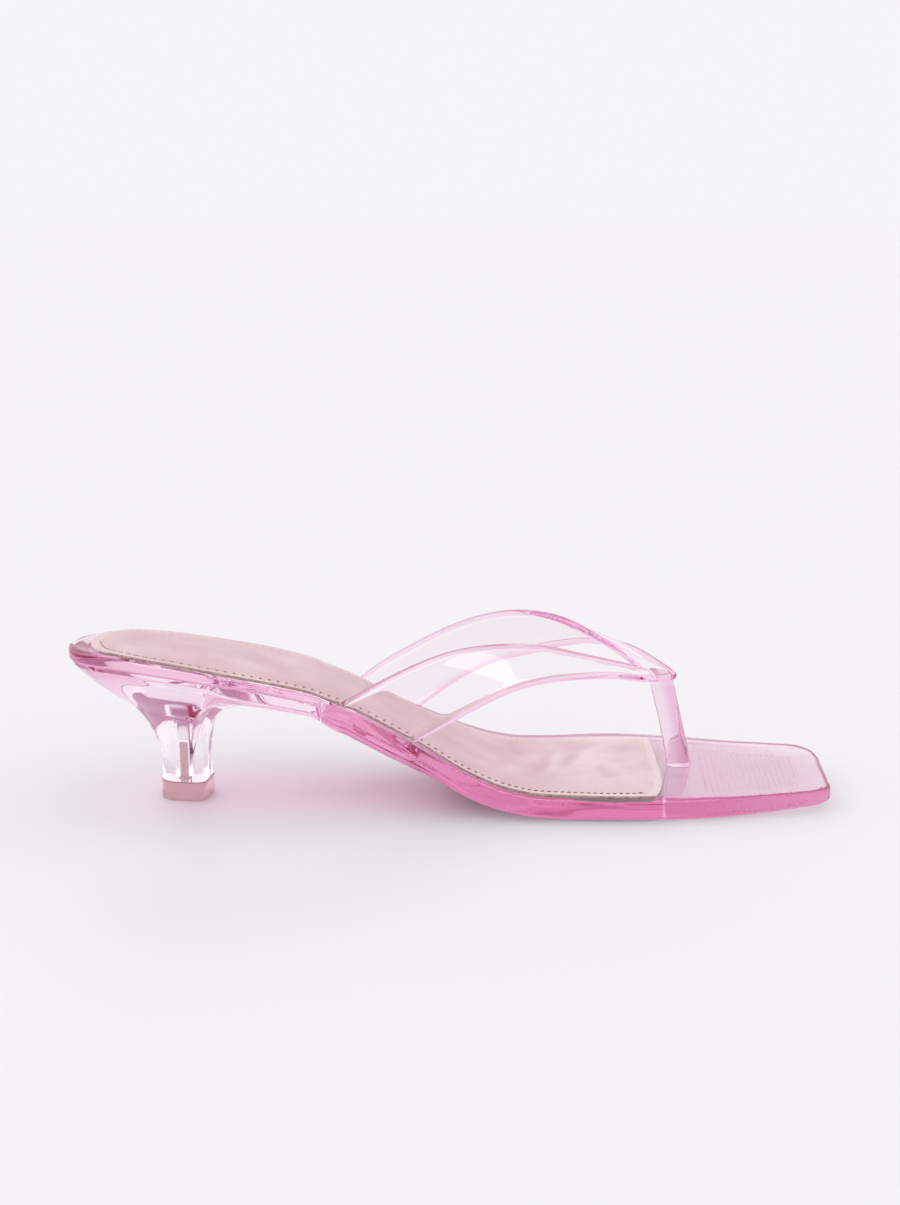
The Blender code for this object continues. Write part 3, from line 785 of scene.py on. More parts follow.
# %% Heel tables
STEM_HALF_LENGTH = 7.6
STEM_HALF_WIDTH = 7.2
STEM_TURN = math.radians(-10)
STEM_FRONT_POWER = 6.0
STEM_BACK_POWER = 2.4
STEM_FOOT = 6.3
FLANGE_FRONT_X = -38.9
HEEL_INSET = 1.3
JOINT_GAP = 0.06
HEEL_SPOKES = 144
HEEL_RINGS_PER_ROW = 4
SEAT_SHARES = (0.12, 0.3, 0.5, 0.7, 0.85, 0.95, 0.99)
FLANGE_ROUND = 5.8
FLANGE_EDGE = 2.1
FLANGE_BEGINS = 0.25
FLANGE_FULL = 0.68
RIM_LAST_ROW = 12
RIM_POINTS = 300
RIM_BLEND = 90
STEM_RINGS = 8
SIDE_LINE_POINTS = 400
# Reach (1 at the rim, 0 at the stem), depth under the seat at the back, depth at the front
HEEL_ROWS = (
    (1.00, 0.9, 5.4),
    (0.95, 2.4, 5.5),
    (0.88, 4.2, 5.5),
    (0.80, 6.1, 5.5),
    (0.68, 8.6, 5.6),
    (0.57, 10.6, 5.9),
    (0.46, 12.4, 6.6),
    (0.34, 14.4, 8.0),
    (0.25, 16.7, 9.4),
    (0.18, 18.9, 10.9),
    (0.12, 21.6, 12.6),
    (0.07, 24.3, 15.0),
    (0.03, 27.5, 18.4),
    (0.00, 31.0, 24.0),
)
SPOKE_ANGLES = 2 * math.pi * np.arange(HEEL_SPOKES) / HEEL_SPOKES


# %% Reach of the stem and of the rim
def stem_reach(grow):
    forward = np.cos(SPOKE_ANGLES - STEM_TURN)
    sideways = np.sin(SPOKE_ANGLES - STEM_TURN)
    power = np.where(forward > 0, STEM_FRONT_POWER, STEM_BACK_POWER)
    along = np.abs(forward) / (STEM_HALF_LENGTH + grow)
    across = np.abs(sideways) / (STEM_HALF_WIDTH + grow)
    return (along ** power + across ** power) ** (-1 / power)


def rim_reach():
    places = np.linspace(0, RIM_LAST_ROW, RIM_POINTS)
    beyond = np.arange(RIM_LAST_ROW + 1, len(OUTLINE_ROWS))
    outer, inner, outer_in, inner_in = sole_sides(np.append(places, beyond), 0.0)
    outer = (outer + outer_in * HEEL_INSET)[:RIM_POINTS]
    inner = (inner + inner_in * HEEL_INSET)[:RIM_POINTS]
    rim = np.concatenate([inner[::-1], outer[1:]]) - (STEM_X, STEM_Y)
    bearing = np.unwrap(np.arctan2(rim[:, 1], rim[:, 0]))
    reach = np.hypot(rim[:, 0], rim[:, 1])
    wanted = (SPOKE_ANGLES - bearing[0]) % (2 * math.pi) + bearing[0]
    best = np.interp(wanted, bearing, reach)
    forward = np.maximum(np.cos(SPOKE_ANGLES), 1e-6)
    front = (FLANGE_FRONT_X - STEM_X) / forward
    blended = (best ** -RIM_BLEND + front ** -RIM_BLEND) ** (-1 / RIM_BLEND)
    return np.where(np.cos(SPOKE_ANGLES) > 0, blended, best)


def stem_loop(height, grow):
    reach = stem_reach(grow)
    x = STEM_X + np.cos(SPOKE_ANGLES) * reach
    y = STEM_Y + np.sin(SPOKE_ANGLES) * reach
    return np.column_stack([x, y, np.full(HEEL_SPOKES, height)])


def heel_seat(x):
    return sole_bottom(np.minimum(x, JOINT_BACK)) - JOINT_GAP


# %% Heel skin with its bore
BORE_RADIUS = 2.8
BORE_TOP = 31.0
SCREW_HEAD_RADIUS = 4.5
SCREW_HEAD_HEIGHT = 5.0
BAR_SIDES = 40
HARD_EDGE = 32
# How far a bar reaches past the face it cuts or joins
BAR_PAST = 2


def round_bar(name, radius, low, high, sides=BAR_SIDES):
    bpy.ops.object.select_all(action="DESELECT")
    middle = np.array([STEM_X, STEM_Y, (low + high) / 2]) * MM + PLACE
    depth = (high - low) * MM
    bpy.ops.mesh.primitive_cylinder_add(vertices=sides, radius=radius * MM, depth=depth, location=middle)
    bpy.ops.object.transform_apply(location=True, rotation=False, scale=False)
    bpy.context.object.name = name
    return bpy.context.object


rim = rim_reach()
stem = stem_reach(0.0)
heel_loops = []
for share in SEAT_SHARES:
    x = STEM_X + np.cos(SPOKE_ANGLES) * rim * share
    y = STEM_Y + np.sin(SPOKE_ANGLES) * rim * share
    heel_loops.append(np.column_stack([x, y, heel_seat(x)]))
heel_places = np.linspace(0, len(HEEL_ROWS) - 1, (len(HEEL_ROWS) - 1) * HEEL_RINGS_PER_ROW + 1)
forward = smooth_step(FLANGE_BEGINS, FLANGE_FULL, np.cos(SPOKE_ANGLES))
side_line = np.concatenate(sole_sides(np.linspace(0, len(OUTLINE_ROWS) - 1, SIDE_LINE_POINTS), 0.0)[:2])
for share, back, front in curve_at(HEEL_ROWS, heel_places):
    reach = stem + (rim - stem) * share
    x = STEM_X + np.cos(SPOKE_ANGLES) * reach
    y = STEM_Y + np.sin(SPOKE_ANGLES) * reach
    to_side = np.hypot(x[:, None] - side_line[:, 0], y[:, None] - side_line[:, 1])
    from_rim = np.min(to_side, axis=1) - HEEL_INSET
    turned = np.sqrt(1 - (1 - np.clip(from_rim / FLANGE_ROUND, 0, 1)) ** 2)
    front = FLANGE_EDGE + (front - FLANGE_EDGE) * turned
    heel_loops.append(np.column_stack([x, y, heel_seat(x) - back - (front - back) * forward]))
for height in np.linspace(heel_loops[-1][:, 2].min() - 1, STEM_FOOT, STEM_RINGS):
    heel_loops.append(stem_loop(height, 0.0))
heel = skin("heel_body", np.array(heel_loops))
carve(heel, round_bar("bore", BORE_RADIUS, STEM_FOOT - BAR_PAST, BORE_TOP + BAR_PAST), "DIFFERENCE")
seat_top = BORE_TOP + SCREW_HEAD_HEIGHT + 2 * SEAT_GAP
carve(heel, round_bar("screw_seat", SCREW_HEAD_RADIUS + SEAT_GAP, BORE_TOP, seat_top), "DIFFERENCE")
smooth(heel, HARD_EDGE)
stand_for(heel, "heel")
print("heel faces:", len(heel.data.polygons))

# %% [markdown]
# ## Where clear pieces are joined
# Where clear plastic is glued or moulded together no surface is left, and light goes straight on. The faces
# that touch get the value 1 in an attribute called bonded, and the finish makes them see-through. These are
# the heel's seat, the step at the front of its flange and the walls of the recess that hold the insole. A
# second attribute, pinker, deepens the surface colour on the sole's side, more at its heel end, and in
# stripes between the toe panel's grooves: painted light for the pink that the clear plastic gathers and bends
# there.

# %% Joined faces and deeper pink
FACING = 0.7
STEP_FACING = 0.5
WALL_LEAN = 0.3
JOINT_REACH = 0.5
STEP_REACH = 0.2
STEP_LOW = 25
STEP_HIGH = 35
# Seat gaps that a recess wall may lie from the insole's outline: along the sides, and in the front corners
WALL_GAPS = 2
CORNER_GAPS = 6
CORNERS_FROM = 50
SIDE_FADE = (0.95, 0.7)
SIDE_PINK = 0.2
BACK_PINK = 0.5
BACK_FADE = (-30, -50)
GROOVE_PINK = 0.4
GROOVE_FADE = (-0.2, 0.6)
PANEL_INSIDE = 0.5
UNDERSIDE_FACING = 0.8
middles, normals = face_middles(heel)
on_seat = (normals[:, 2] > FACING) & (middles[:, 2] > heel_seat(middles[:, 0]) - JOINT_REACH)
on_front = (normals[:, 0] > FACING) & (middles[:, 0] > FLANGE_FRONT_X - JOINT_REACH)
heel_bonded = on_seat | on_front & (middles[:, 2] > STEP_LOW)
paint(heel, "bonded", "FACE", heel_bonded)
middles, normals = face_middles(sole)
on_heel = (normals[:, 2] < -FACING) & (middles[:, 0] < FLANGE_FRONT_X)
at_step = np.abs(middles[:, 0] - (JOINT_BACK + JOINT_FRONT) / 2) < STEP_REACH
at_step &= (normals[:, 0] < -STEP_FACING) & (middles[:, 2] < STEP_HIGH)
gaps = np.where(middles[:, 0] > CORNERS_FROM, CORNER_GAPS, WALL_GAPS)
on_wall = distance_to(INSOLE_EDGE, middles[:, :2]) < gaps * SEAT_GAP
on_wall &= (np.abs(normals[:, 2]) < WALL_LEAN) & (middles[:, 2] > sole_top(middles[:, 0]) - RECESS_DEPTH)
sole_bonded = on_heel | at_step | on_wall
paint(sole, "bonded", "FACE", sole_bonded)
# Painted light: deeper pink on the sides and heel end, pink stripes between the grooves
on_side = smooth_step(*SIDE_FADE, np.abs(normals[:, 2]))
side_pink = SIDE_PINK + BACK_PINK * smooth_step(*BACK_FADE, middles[:, 0])
along = middles[:, 0] - GROOVE_SLANT * middles[:, 1]
stripe = smooth_step(*GROOVE_FADE, -np.cos(2 * math.pi * (along - PANEL_FIRST) / PANEL_PITCH))
on_panel = underside_panel(middles[:, 0], middles[:, 1]) > PANEL_INSIDE
stripe *= on_panel & (normals[:, 2] < -UNDERSIDE_FACING)
paint(sole, "pinker", "FACE", on_side * side_pink + GROOVE_PINK * stripe)
print("bonded faces:", int(heel_bonded.sum()), "on the heel,", int(sole_bonded.sum()), "on the sole")

# %% [markdown]
# ## The screw and the heel tip
# Through the clear heel the fixing screw shows as a head on a shaft. Under the stem sits the heel tip, a
# block of the stem's own outline with a dowel that goes up into the bore. Cylinders are a good start for
# the bars, and a bevel breaks their edges so that they catch the light.

# %% Screw and tip
SCREW_SHAFT_RADIUS = 2.4
SCREW_SHAFT_FOOT = 20.5
TIP_GROW = 0.3
# Height over the floor and inset of the outline, then depth under the top face and inset
TIP_FOOT_ROWS = ((0.0, 0.5), (0.08, 0.275), (0.25, 0.1), (0.5, 0.0), (1.5, 0.0), (3.0, 0.0))
TIP_TOP_ROWS = ((0.3, 0.0), (0.08, 0.1), (0.0, 0.3))
TIP_DOWEL_RADIUS = 2.0
TIP_DOWEL_TOP = 19.0
DOWEL_SIDES = 32
SCREW_EDGE = 0.35
BEVEL_STEPS = 3
BEVEL_FROM = 40


def break_edges(piece, width):
    bevel = piece.modifiers.new("bevel", "BEVEL")
    bevel.width = width * MM
    bevel.segments = BEVEL_STEPS
    bevel.angle_limit = math.radians(BEVEL_FROM)
    bpy.context.view_layer.objects.active = piece
    bpy.ops.object.modifier_apply(modifier=bevel.name)


screw_foot = BORE_TOP + SEAT_GAP
screw = round_bar("screw_body", SCREW_HEAD_RADIUS, screw_foot, screw_foot + SCREW_HEAD_HEIGHT)
carve(screw, round_bar("shaft", SCREW_SHAFT_RADIUS, SCREW_SHAFT_FOOT, screw_foot + BAR_PAST), "UNION")
break_edges(screw, SCREW_EDGE)
smooth(screw, HARD_EDGE)
stand_for(screw, "heel_screw")
tip_top = STEM_FOOT - SEAT_GAP
tip_rows = list(TIP_FOOT_ROWS) + [(tip_top - depth, inset) for depth, inset in TIP_TOP_ROWS]
tip = skin("tip_body", np.array([stem_loop(height, TIP_GROW - inset) for height, inset in tip_rows]))
carve(tip, round_bar("dowel", TIP_DOWEL_RADIUS, tip_top - BAR_PAST, TIP_DOWEL_TOP, DOWEL_SIDES), "UNION")
smooth(tip, HARD_EDGE)
stand_for(tip, "heel_tip")
print("tip faces:", len(tip.data.polygons), "screw faces:", len(screw.data.polygons))

# %% [markdown]
# ## The straps and the toe post
# Two straps rise from the ledge on either side of the waist and meet in a knot over the toe post, all
# moulded in one. The band is drawn as one run of sections from the outer ledge over the knot to the
# inner ledge, with rolled rims, and the post is joined to it from below.

# %% Strap tables
# Upper edge x, y, z and lower edge x, y, z
STRAP_ROWS = (
    (-38.4, -28.4, 33.4, -13.0, -27.7, 21.2),
    (-31.0, -28.2, 37.1, -6.8, -29.3, 24.9),
    (-22.0, -27.9, 42.0, 0.9, -30.3, 29.2),
    (-10.9, -26.9, 47.3, 10.3, -29.4, 34.1),
    (1.9, -24.3, 51.5, 21.0, -27.3, 38.6),
    (15.5, -20.2, 52.5, 32.7, -23.1, 40.7),
    (30.8, -14.2, 50.7, 46.1, -16.7, 40.4),
    (44.0, -8.1, 46.3, 58.0, -9.8, 38.9),
    (55.3, -2.6, 42.5, 68.9, -3.6, 36.5),
    (64.0, 2.0, 39.6, 77.5, 2.0, 36.7),
    (58.7, 5.9, 44.0, 72.2, 7.2, 40.0),
    (50.4, 10.6, 48.4, 64.4, 12.8, 43.4),
    (40.1, 15.7, 53.4, 54.1, 19.0, 44.4),
    (26.5, 20.4, 55.2, 41.5, 24.7, 42.2),
    (13.5, 23.5, 52.8, 30.0, 28.1, 39.1),
    (0.9, 25.3, 47.8, 18.1, 29.8, 35.2),
    (-10.2, 25.6, 42.1, 7.8, 29.7, 29.9),
    (-19.4, 24.7, 37.1, -0.3, 28.0, 24.8),
    (-29.6, 23.2, 29.6, -9.8, 23.9, 18.9),
)
STRAP_SECTIONS_PER_ROW = 12
STRAP_THICKNESS = 2.5
STRAP_THINNED = 0.45
RIM_WIDTH = 1.6
STRAP_CROWN = 0.4
STRAP_COLUMNS = 21
RIM_STEPS = 7
# Centre x, y, z, half length, half width
POST_ROWS = (
    (79.0, -0.9, 4.0, 4.4, 2.6),
    (77.6, -0.2, 12.0, 4.2, 2.4),
    (75.1, 0.9, 24.0, 4.1, 2.4),
    (73.0, 1.7, 33.0, 4.2, 2.6),
    (72.2, 2.0, 37.6, 4.2, 3.2),
)
POST_FACET = 0.55
POST_TOP_SLOPE = -0.21
POST_SECTIONS = 25


# %% Strap and post sections
def strap_loops():
    places = np.linspace(0, len(STRAP_ROWS) - 1, (len(STRAP_ROWS) - 1) * STRAP_SECTIONS_PER_ROW + 1)
    upper = curve_at([row[0:3] for row in STRAP_ROWS], places)
    lower = curve_at([row[3:6] for row in STRAP_ROWS], places)
    along = np.gradient((upper + lower) / 2, axis=0)
    half = STRAP_THICKNESS / 2
    loops = []
    for first, last, tangent in zip(upper, lower, along):
        width = last - first
        outward = width / np.linalg.norm(width)
        normal = np.cross(width, tangent)
        normal /= np.linalg.norm(normal)
        first = first + outward * half
        last = last - outward * half
        width = last - first
        shares = (1 - np.cos(np.pi * np.linspace(0, 1, STRAP_COLUMNS))) / 2
        from_rim = np.minimum(shares, 1 - shares) * np.linalg.norm(width)
        thick = half - STRAP_THINNED * smooth_step(0, RIM_WIDTH, from_rim)
        face = list(zip(shares, STRAP_CROWN * 4 * shares * (1 - shares), thick))
        turns = np.pi * np.arange(1, RIM_STEPS + 1) / (RIM_STEPS + 1)
        loop = [first + width * t + normal * (lift + deep) for t, lift, deep in face]
        loop += [last + half * (normal * np.cos(turn) + outward * np.sin(turn)) for turn in turns]
        loop += [first + width * t + normal * (lift - deep) for t, lift, deep in reversed(face)]
        loop += [first - half * (normal * np.cos(turn) + outward * np.sin(turn)) for turn in turns]
        loops.append(loop)
    return np.array(loops)


def post_loops():
    loops = []
    places = np.linspace(0, len(POST_ROWS) - 1, POST_SECTIONS)
    for x, y, z, half_length, half_width in curve_at(POST_ROWS, places):
        short = half_length * POST_FACET
        corners = ((half_length, 0.0), (short, half_width), (-short, half_width),
                   (-half_length, 0.0), (-short, -half_width), (short, -half_width))
        slope = POST_TOP_SLOPE * smooth_step(POST_ROWS[3][2], POST_ROWS[4][2], z)
        loops.append([(x + dx, y + dy, z + slope * dx) for dx, dy in corners])
    return np.array(loops)


# %% Upper in one piece
POST_EDGE = 0.7
UPPER_CREASE = 40
upper = skin("upper_straps", strap_loops())
post = skin("post", post_loops())
break_edges(post, POST_EDGE)
carve(upper, post, "UNION")
carve(upper, skin("sole_room", sole_loops(section_places(False), SEAT_GAP, 0.0)), "DIFFERENCE")
smooth(upper, UPPER_CREASE)
stand_for(upper, "upper")
print("upper faces:", len(upper.data.polygons))

# %% [markdown]
# ## Pink rims and welded feet
# Light gathers in the rolled rims and in the front of the post, so those points are marked pinker. The feet
# of the straps are welded to the ledge: most of their surface is gone there, which the bonded value says.

# %% Pink rims and welded feet
RIM_SAMPLES = 260
RIM_FADE = (0.6, 2.4)
POST_BELOW = (35.5, 33.5)
POST_FROM = (60, 62)
POST_PINK = 0.2
POST_FRONT_PINK = 0.6
POST_FRONT_FADE = (-1.0, 1.5)
FOOT_FADE = (1.2, -1.2)
FEET_END = 20
WELD_SHARE = 0.75
corners = corner_places(upper)
rim_places = np.linspace(0, len(STRAP_ROWS) - 1, RIM_SAMPLES)
rim_lines = [curve_at([row[first:first + 3] for row in STRAP_ROWS], rim_places) for first in (0, 3)]
rim_points = np.concatenate(rim_lines)
to_rim = np.min(np.linalg.norm(corners[:, None] - rim_points[None], axis=2), axis=1)
rim_pink = 1 - smooth_step(*RIM_FADE, to_rim)
post_x = by_x(sorted((row[2], row[0]) for row in POST_ROWS), 1, corners[:, 2])
on_post = smooth_step(*POST_BELOW, corners[:, 2]) * smooth_step(*POST_FROM, corners[:, 0])
post_pink = POST_PINK + POST_FRONT_PINK * smooth_step(*POST_FRONT_FADE, corners[:, 0] - post_x)
paint(upper, "pinker", "POINT", rim_pink * (1 - on_post) + post_pink * on_post)
foot = smooth_step(*FOOT_FADE, corners[:, 2] - sole_top(corners[:, 0])) * (corners[:, 0] < FEET_END)
paint(upper, "bonded", "POINT", WELD_SHARE * foot)
print("welded points:", int((foot > 0.5).sum()))

# %% [markdown]
# ## Building finishes from nodes
# A finish in Blender is a small tree of nodes. Each node is added with its settings and then wired to the
# next one, so four short helpers keep the trees below readable.


# %% Node helpers
def new_finish(name):
    material = bpy.data.materials.new(name)
    material.use_nodes = True
    return material.node_tree


def add_node(tree, kind, settings):
    node = tree.nodes.new(kind)
    for socket, value in settings.items():
        node.inputs[socket].default_value = value
    return node


def read_value(tree, attribute):
    node = tree.nodes.new("ShaderNodeAttribute")
    node.attribute_name = attribute
    return node


def wire(tree, start, output, end, socket):
    tree.links.new(start.outputs[output], end.inputs[socket])


def give(piece, finishes):
    piece.data.materials.clear()
    for name in finishes:
        piece.data.materials.append(bpy.data.materials[name])


# %% [markdown]
# ## Clear plastic
# Clear plastic bends light at its surface and takes out some colour on the way through, so thin straps
# look nearly clear and the long way through the sole looks pink. That tint is absorption inside the piece,
# not paint; only the pinker value adds paint, a deeper pink in the surface colour as painted light for the
# pink that gathers in rims, sides and grooves. Lamps shine through it, which gives the pale pink shadow. A
# faint noise in the bump stands for the ripple of a moulding, and a drawn-out one for the way the plastic
# flowed.

# %% Clear plastic finish
PLASTIC_IOR = 1.49
RIPPLE = {"Scale": 90, "Detail": 2}
RIPPLE_DEPTH = 0.0004
FLOW = {"Scale": 700, "Detail": 1}
FLOW_STRETCH = (0.03, 0.6, 1.0)
FLOW_DEPTH = 0.0002


def add_bump(tree, place, noise, strength, depth):
    bump = add_node(tree, "ShaderNodeBump", {"Strength": strength, "Distance": depth})
    pattern = add_node(tree, "ShaderNodeTexNoise", noise)
    wire(tree, *place, pattern, "Vector")
    wire(tree, pattern, "Fac", bump, "Height")
    return bump


def clear_plastic(name, surface, tint, density, shadow, ripple, flow=0.0, roughness=0.0, clarity=1.0,
                  bonded=False, pinker=None):
    tree = new_finish(name)
    shader = tree.nodes["Principled BSDF"]
    output = tree.nodes["Material Output"]
    shader.inputs["Base Color"].default_value = surface
    shader.inputs["Roughness"].default_value = roughness
    shader.inputs["IOR"].default_value = PLASTIC_IOR
    shader.inputs["Transmission Weight"].default_value = clarity
    if pinker:
        colour = add_node(tree, "ShaderNodeMix", {})
        colour.data_type = "RGBA"
        colour.inputs["A"].default_value = surface
        colour.inputs["B"].default_value = pinker
        wire(tree, read_value(tree, "pinker"), "Fac", colour, "Factor")
        wire(tree, colour, "Result", shader, "Base Color")
    if bonded:
        left = add_node(tree, "ShaderNodeMath", {0: 1.0})
        left.operation = "SUBTRACT"
        wire(tree, read_value(tree, "bonded"), "Fac", left, 1)
        wire(tree, left, "Value", shader, "Alpha")
    place = add_node(tree, "ShaderNodeTexCoord", {})
    drawn = add_node(tree, "ShaderNodeMapping", {"Scale": FLOW_STRETCH})
    wire(tree, place, "Object", drawn, "Vector")
    ripples = add_bump(tree, (place, "Object"), RIPPLE, ripple, RIPPLE_DEPTH)
    flows = add_bump(tree, (drawn, "Vector"), FLOW, flow, FLOW_DEPTH)
    wire(tree, ripples, "Normal", flows, "Normal")
    wire(tree, flows, "Normal", shader, "Normal")
    light = add_node(tree, "ShaderNodeLightPath", {})
    through = add_node(tree, "ShaderNodeBsdfTransparent", {"Color": shadow})
    mix = add_node(tree, "ShaderNodeMixShader", {})
    wire(tree, light, "Is Shadow Ray", mix, 0)
    wire(tree, shader, "BSDF", mix, 1)
    wire(tree, through, "BSDF", mix, 2)
    wire(tree, mix, "Shader", output, "Surface")
    inside = add_node(tree, "ShaderNodeVolumeAbsorption", {"Color": tint, "Density": density})
    wire(tree, inside, "Volume", output, "Volume")


# %% Clear finishes of the sandal
PALE = (1.0, 0.95, 0.98, 1)
CLEAR = (1.0, 0.98, 0.99, 1)
ROSE = (0.80, 0.60, 0.63, 1)
RIM_PINK = (0.93, 0.62, 0.81, 1)
STRAP_PINK = (0.90, 0.53, 0.76, 1)
PINK_TINT = (0.86, 0.20, 0.58, 1)
HEEL_TINT = (0.90, 0.50, 0.78, 1)
SCREW_TINT = (0.70, 0.58, 0.72, 1)
ROSE_TINT = (0.80, 0.40, 0.48, 1)
SOLE_SHADOW = (0.94, 0.77, 0.87, 1)
STRAP_SHADOW = (0.97, 0.93, 0.96, 1)
HEEL_SHADOW = (0.95, 0.92, 0.95, 1)
SCREW_SHADOW = (0.8, 0.75, 0.8, 1)
TIP_SHADOW = (0.8, 0.7, 0.72, 1)
clear_plastic("clear_pink_sole", PALE, PINK_TINT, 22, SOLE_SHADOW, 0.002, flow=0.004,
              bonded=True, pinker=RIM_PINK)
clear_plastic("clear_straps", CLEAR, PINK_TINT, 22, STRAP_SHADOW, 0.002, flow=0.004,
              bonded=True, pinker=STRAP_PINK)
clear_plastic("clear_heel", CLEAR, HEEL_TINT, 9, HEEL_SHADOW, 0.002, bonded=True)
clear_plastic("clear_screw", PALE, SCREW_TINT, 24, SCREW_SHADOW, 0.05, roughness=0.08, clarity=0.95)
clear_plastic("rose_tip", ROSE, ROSE_TINT, 26, TIP_SHADOW, 0.2, roughness=0.35, clarity=0.75)
give(sole, ["clear_pink_sole"])
give(upper, ["clear_straps"])
give(heel, ["clear_heel"])
give(screw, ["clear_screw"])
give(tip, ["rose_tip"])
print("clear finishes given")

# %% [markdown]
# ## Leather and thread
# The insole is pale pink leather with a fine grain: small cells in the bump, a soft mottle in the colour that
# the stored value shifts with its painted shade and light, and a dull gloss. Its cut edge is rough and brown
# on the outer side. Its back and inner edge are painted lighter and pinker than the leather, as painted light
# for the glow that the pink sole throws up onto them. Thread is a little lighter than the leather, and the
# needle slits are dark, needle holes with painted shade of the stitches.

# %% Leather, edge and thread finishes
MOTTLE_DETAIL = 6
DEEP_AT = 0.3
PALE_AT = 0.7
PALE_AT_WITH_TONE_AND_LIGHT = 0.6
GRAIN_STRENGTH = 0.5


def mottled(name, pale, deep, roughness, mottle_scale, grain_scale, grain_depth, paler=None):
    tree = new_finish(name)
    shader = tree.nodes["Principled BSDF"]
    shader.inputs["Roughness"].default_value = roughness
    place = add_node(tree, "ShaderNodeTexCoord", {})
    mottle = add_node(tree, "ShaderNodeTexNoise", {"Scale": mottle_scale, "Detail": MOTTLE_DETAIL})
    ramp = add_node(tree, "ShaderNodeValToRGB", {})
    stops = ramp.color_ramp.elements
    stops[0].position = DEEP_AT
    stops[0].color = deep
    stops[1].position = PALE_AT_WITH_TONE_AND_LIGHT if paler else PALE_AT
    stops[1].color = pale
    grain = add_node(tree, "ShaderNodeTexVoronoi", {"Scale": grain_scale})
    bump = add_node(tree, "ShaderNodeBump", {"Strength": GRAIN_STRENGTH, "Distance": grain_depth})
    wire(tree, place, "Object", mottle, "Vector")
    wire(tree, mottle, "Fac", ramp, "Fac")
    if paler:
        stops.new(1.0).color = paler
        added = add_node(tree, "ShaderNodeMath", {})
        wire(tree, mottle, "Fac", added, 0)
        wire(tree, read_value(tree, "tone_and_painted_light"), "Fac", added, 1)
        wire(tree, added, "Value", ramp, "Fac")
    wire(tree, ramp, "Color", shader, "Base Color")
    wire(tree, place, "Object", grain, "Vector")
    wire(tree, grain, "Distance", bump, "Height")
    wire(tree, bump, "Normal", shader, "Normal")


mottled("pink_leather", (0.735, 0.525, 0.555, 1), (0.66, 0.44, 0.47, 1), 0.52, 70, 1500, 0.00008,
        paler=(0.86, 0.69, 0.72, 1))
mottled("raw_leather_edge", (0.60, 0.42, 0.40, 1), (0.30, 0.18, 0.17, 1), 0.85, 900, 1800, 0.0002)
# Painted light: the back is lighter and pinker than the leather's top, for the light the pink sole throws
# onto it
mottled("leather_back_painted_light", (0.86, 0.60, 0.74, 1), (0.78, 0.50, 0.66, 1), 0.8, 200, 1500, 0.0001)
mottled("seam_thread", (0.93, 0.82, 0.80, 1), (0.86, 0.70, 0.68, 1), 0.6, 1500, 2500, 0.0001)
# Dark slits: needle holes with painted shade of the stitches
mottled("needle_slit_and_painted_shade", (0.40, 0.20, 0.19, 1), (0.31, 0.14, 0.13, 1), 0.9, 900, 2500, 0.0001)

# %% Dress the insole and its seams
BACK_FACING = 0.35
EDGE_FACING = 0.85
OUTER_FACING = 0.6
give(insole, ["pink_leather", "raw_leather_edge", "leather_back_painted_light"])
# Faces below and on the inner edge take the back with its painted light; the outer edge takes the brown raw
# edge
for face in insole.data.polygons:
    if face.normal.z < -BACK_FACING:
        face.material_index = 2
    elif face.normal.z < EDGE_FACING and face.normal.y < -OUTER_FACING:
        face.material_index = 1
    elif face.normal.z < BACK_FACING:
        face.material_index = 2
for piece in threads:
    give(piece, ["seam_thread"])
give(slits_and_shade, ["needle_slit_and_painted_shade"])
print("edge faces:", sum(face.material_index == 1 for face in insole.data.polygons))

# %% [markdown]
# ## Floor, room and sun
# The sandal stands on a plain pale floor in a bright pale room, as in a light tent. The room lights it from
# all sides, and the camera alone sees a backdrop that matches the far floor. A soft sun from behind lays the
# pale shadow to the front.

# %% Floor
FLOOR_HALF = 20.0
FLOOR_GAP = 0.1
bpy.ops.object.select_all(action="DESELECT")
bpy.ops.mesh.primitive_plane_add(size=2 * FLOOR_HALF, location=(0, 0, -FLOOR_GAP * MM))
floor = bpy.context.object
floor.name = "floor"
paper = new_finish("pale_floor").nodes["Principled BSDF"]
paper.inputs["Base Color"].default_value = (0.868, 0.864, 0.873, 1)
paper.inputs["Roughness"].default_value = 0.6
paper.inputs["Specular IOR Level"].default_value = 0.2
give(floor, ["pale_floor"])
print("floor is", 2 * FLOOR_HALF, "m wide")

# %% Room and sun
ROOM_LOW = (0.98, 0.965, 0.985, 1)
ROOM_HIGH = (1.0, 0.985, 1.0, 1)
BACKDROP = (0.923, 0.909, 0.931, 1)
SUN_TILT = -68
SUN_TURN = 8
SUN_STRENGTH = 0.5
SUN_WIDTH = 14
scene = bpy.context.scene
world = bpy.data.worlds.new("pale_room")
scene.world = world
world.use_nodes = True
world.cycles.sampling_method = "NONE"
sky = world.node_tree
room = sky.nodes["Background"]
direction = add_node(sky, "ShaderNodeTexCoord", {})
upward = add_node(sky, "ShaderNodeSeparateXYZ", {})
shade = add_node(sky, "ShaderNodeValToRGB", {})
shade.color_ramp.elements[0].color = ROOM_LOW
shade.color_ramp.elements[1].position = 0.9
shade.color_ramp.elements[1].color = ROOM_HIGH
backdrop = add_node(sky, "ShaderNodeBackground", {"Color": BACKDROP})
seen = add_node(sky, "ShaderNodeLightPath", {})
choose = add_node(sky, "ShaderNodeMixShader", {})
wire(sky, direction, "Generated", upward, "Vector")
wire(sky, upward, "Z", shade, "Fac")
wire(sky, shade, "Color", room, "Color")
wire(sky, seen, "Is Camera Ray", choose, 0)
wire(sky, room, "Background", choose, 1)
wire(sky, backdrop, "Background", choose, 2)
wire(sky, choose, "Shader", sky.nodes["World Output"], "Surface")
bpy.ops.object.light_add(type="SUN", location=(0, 0, 2))
sun = bpy.context.object
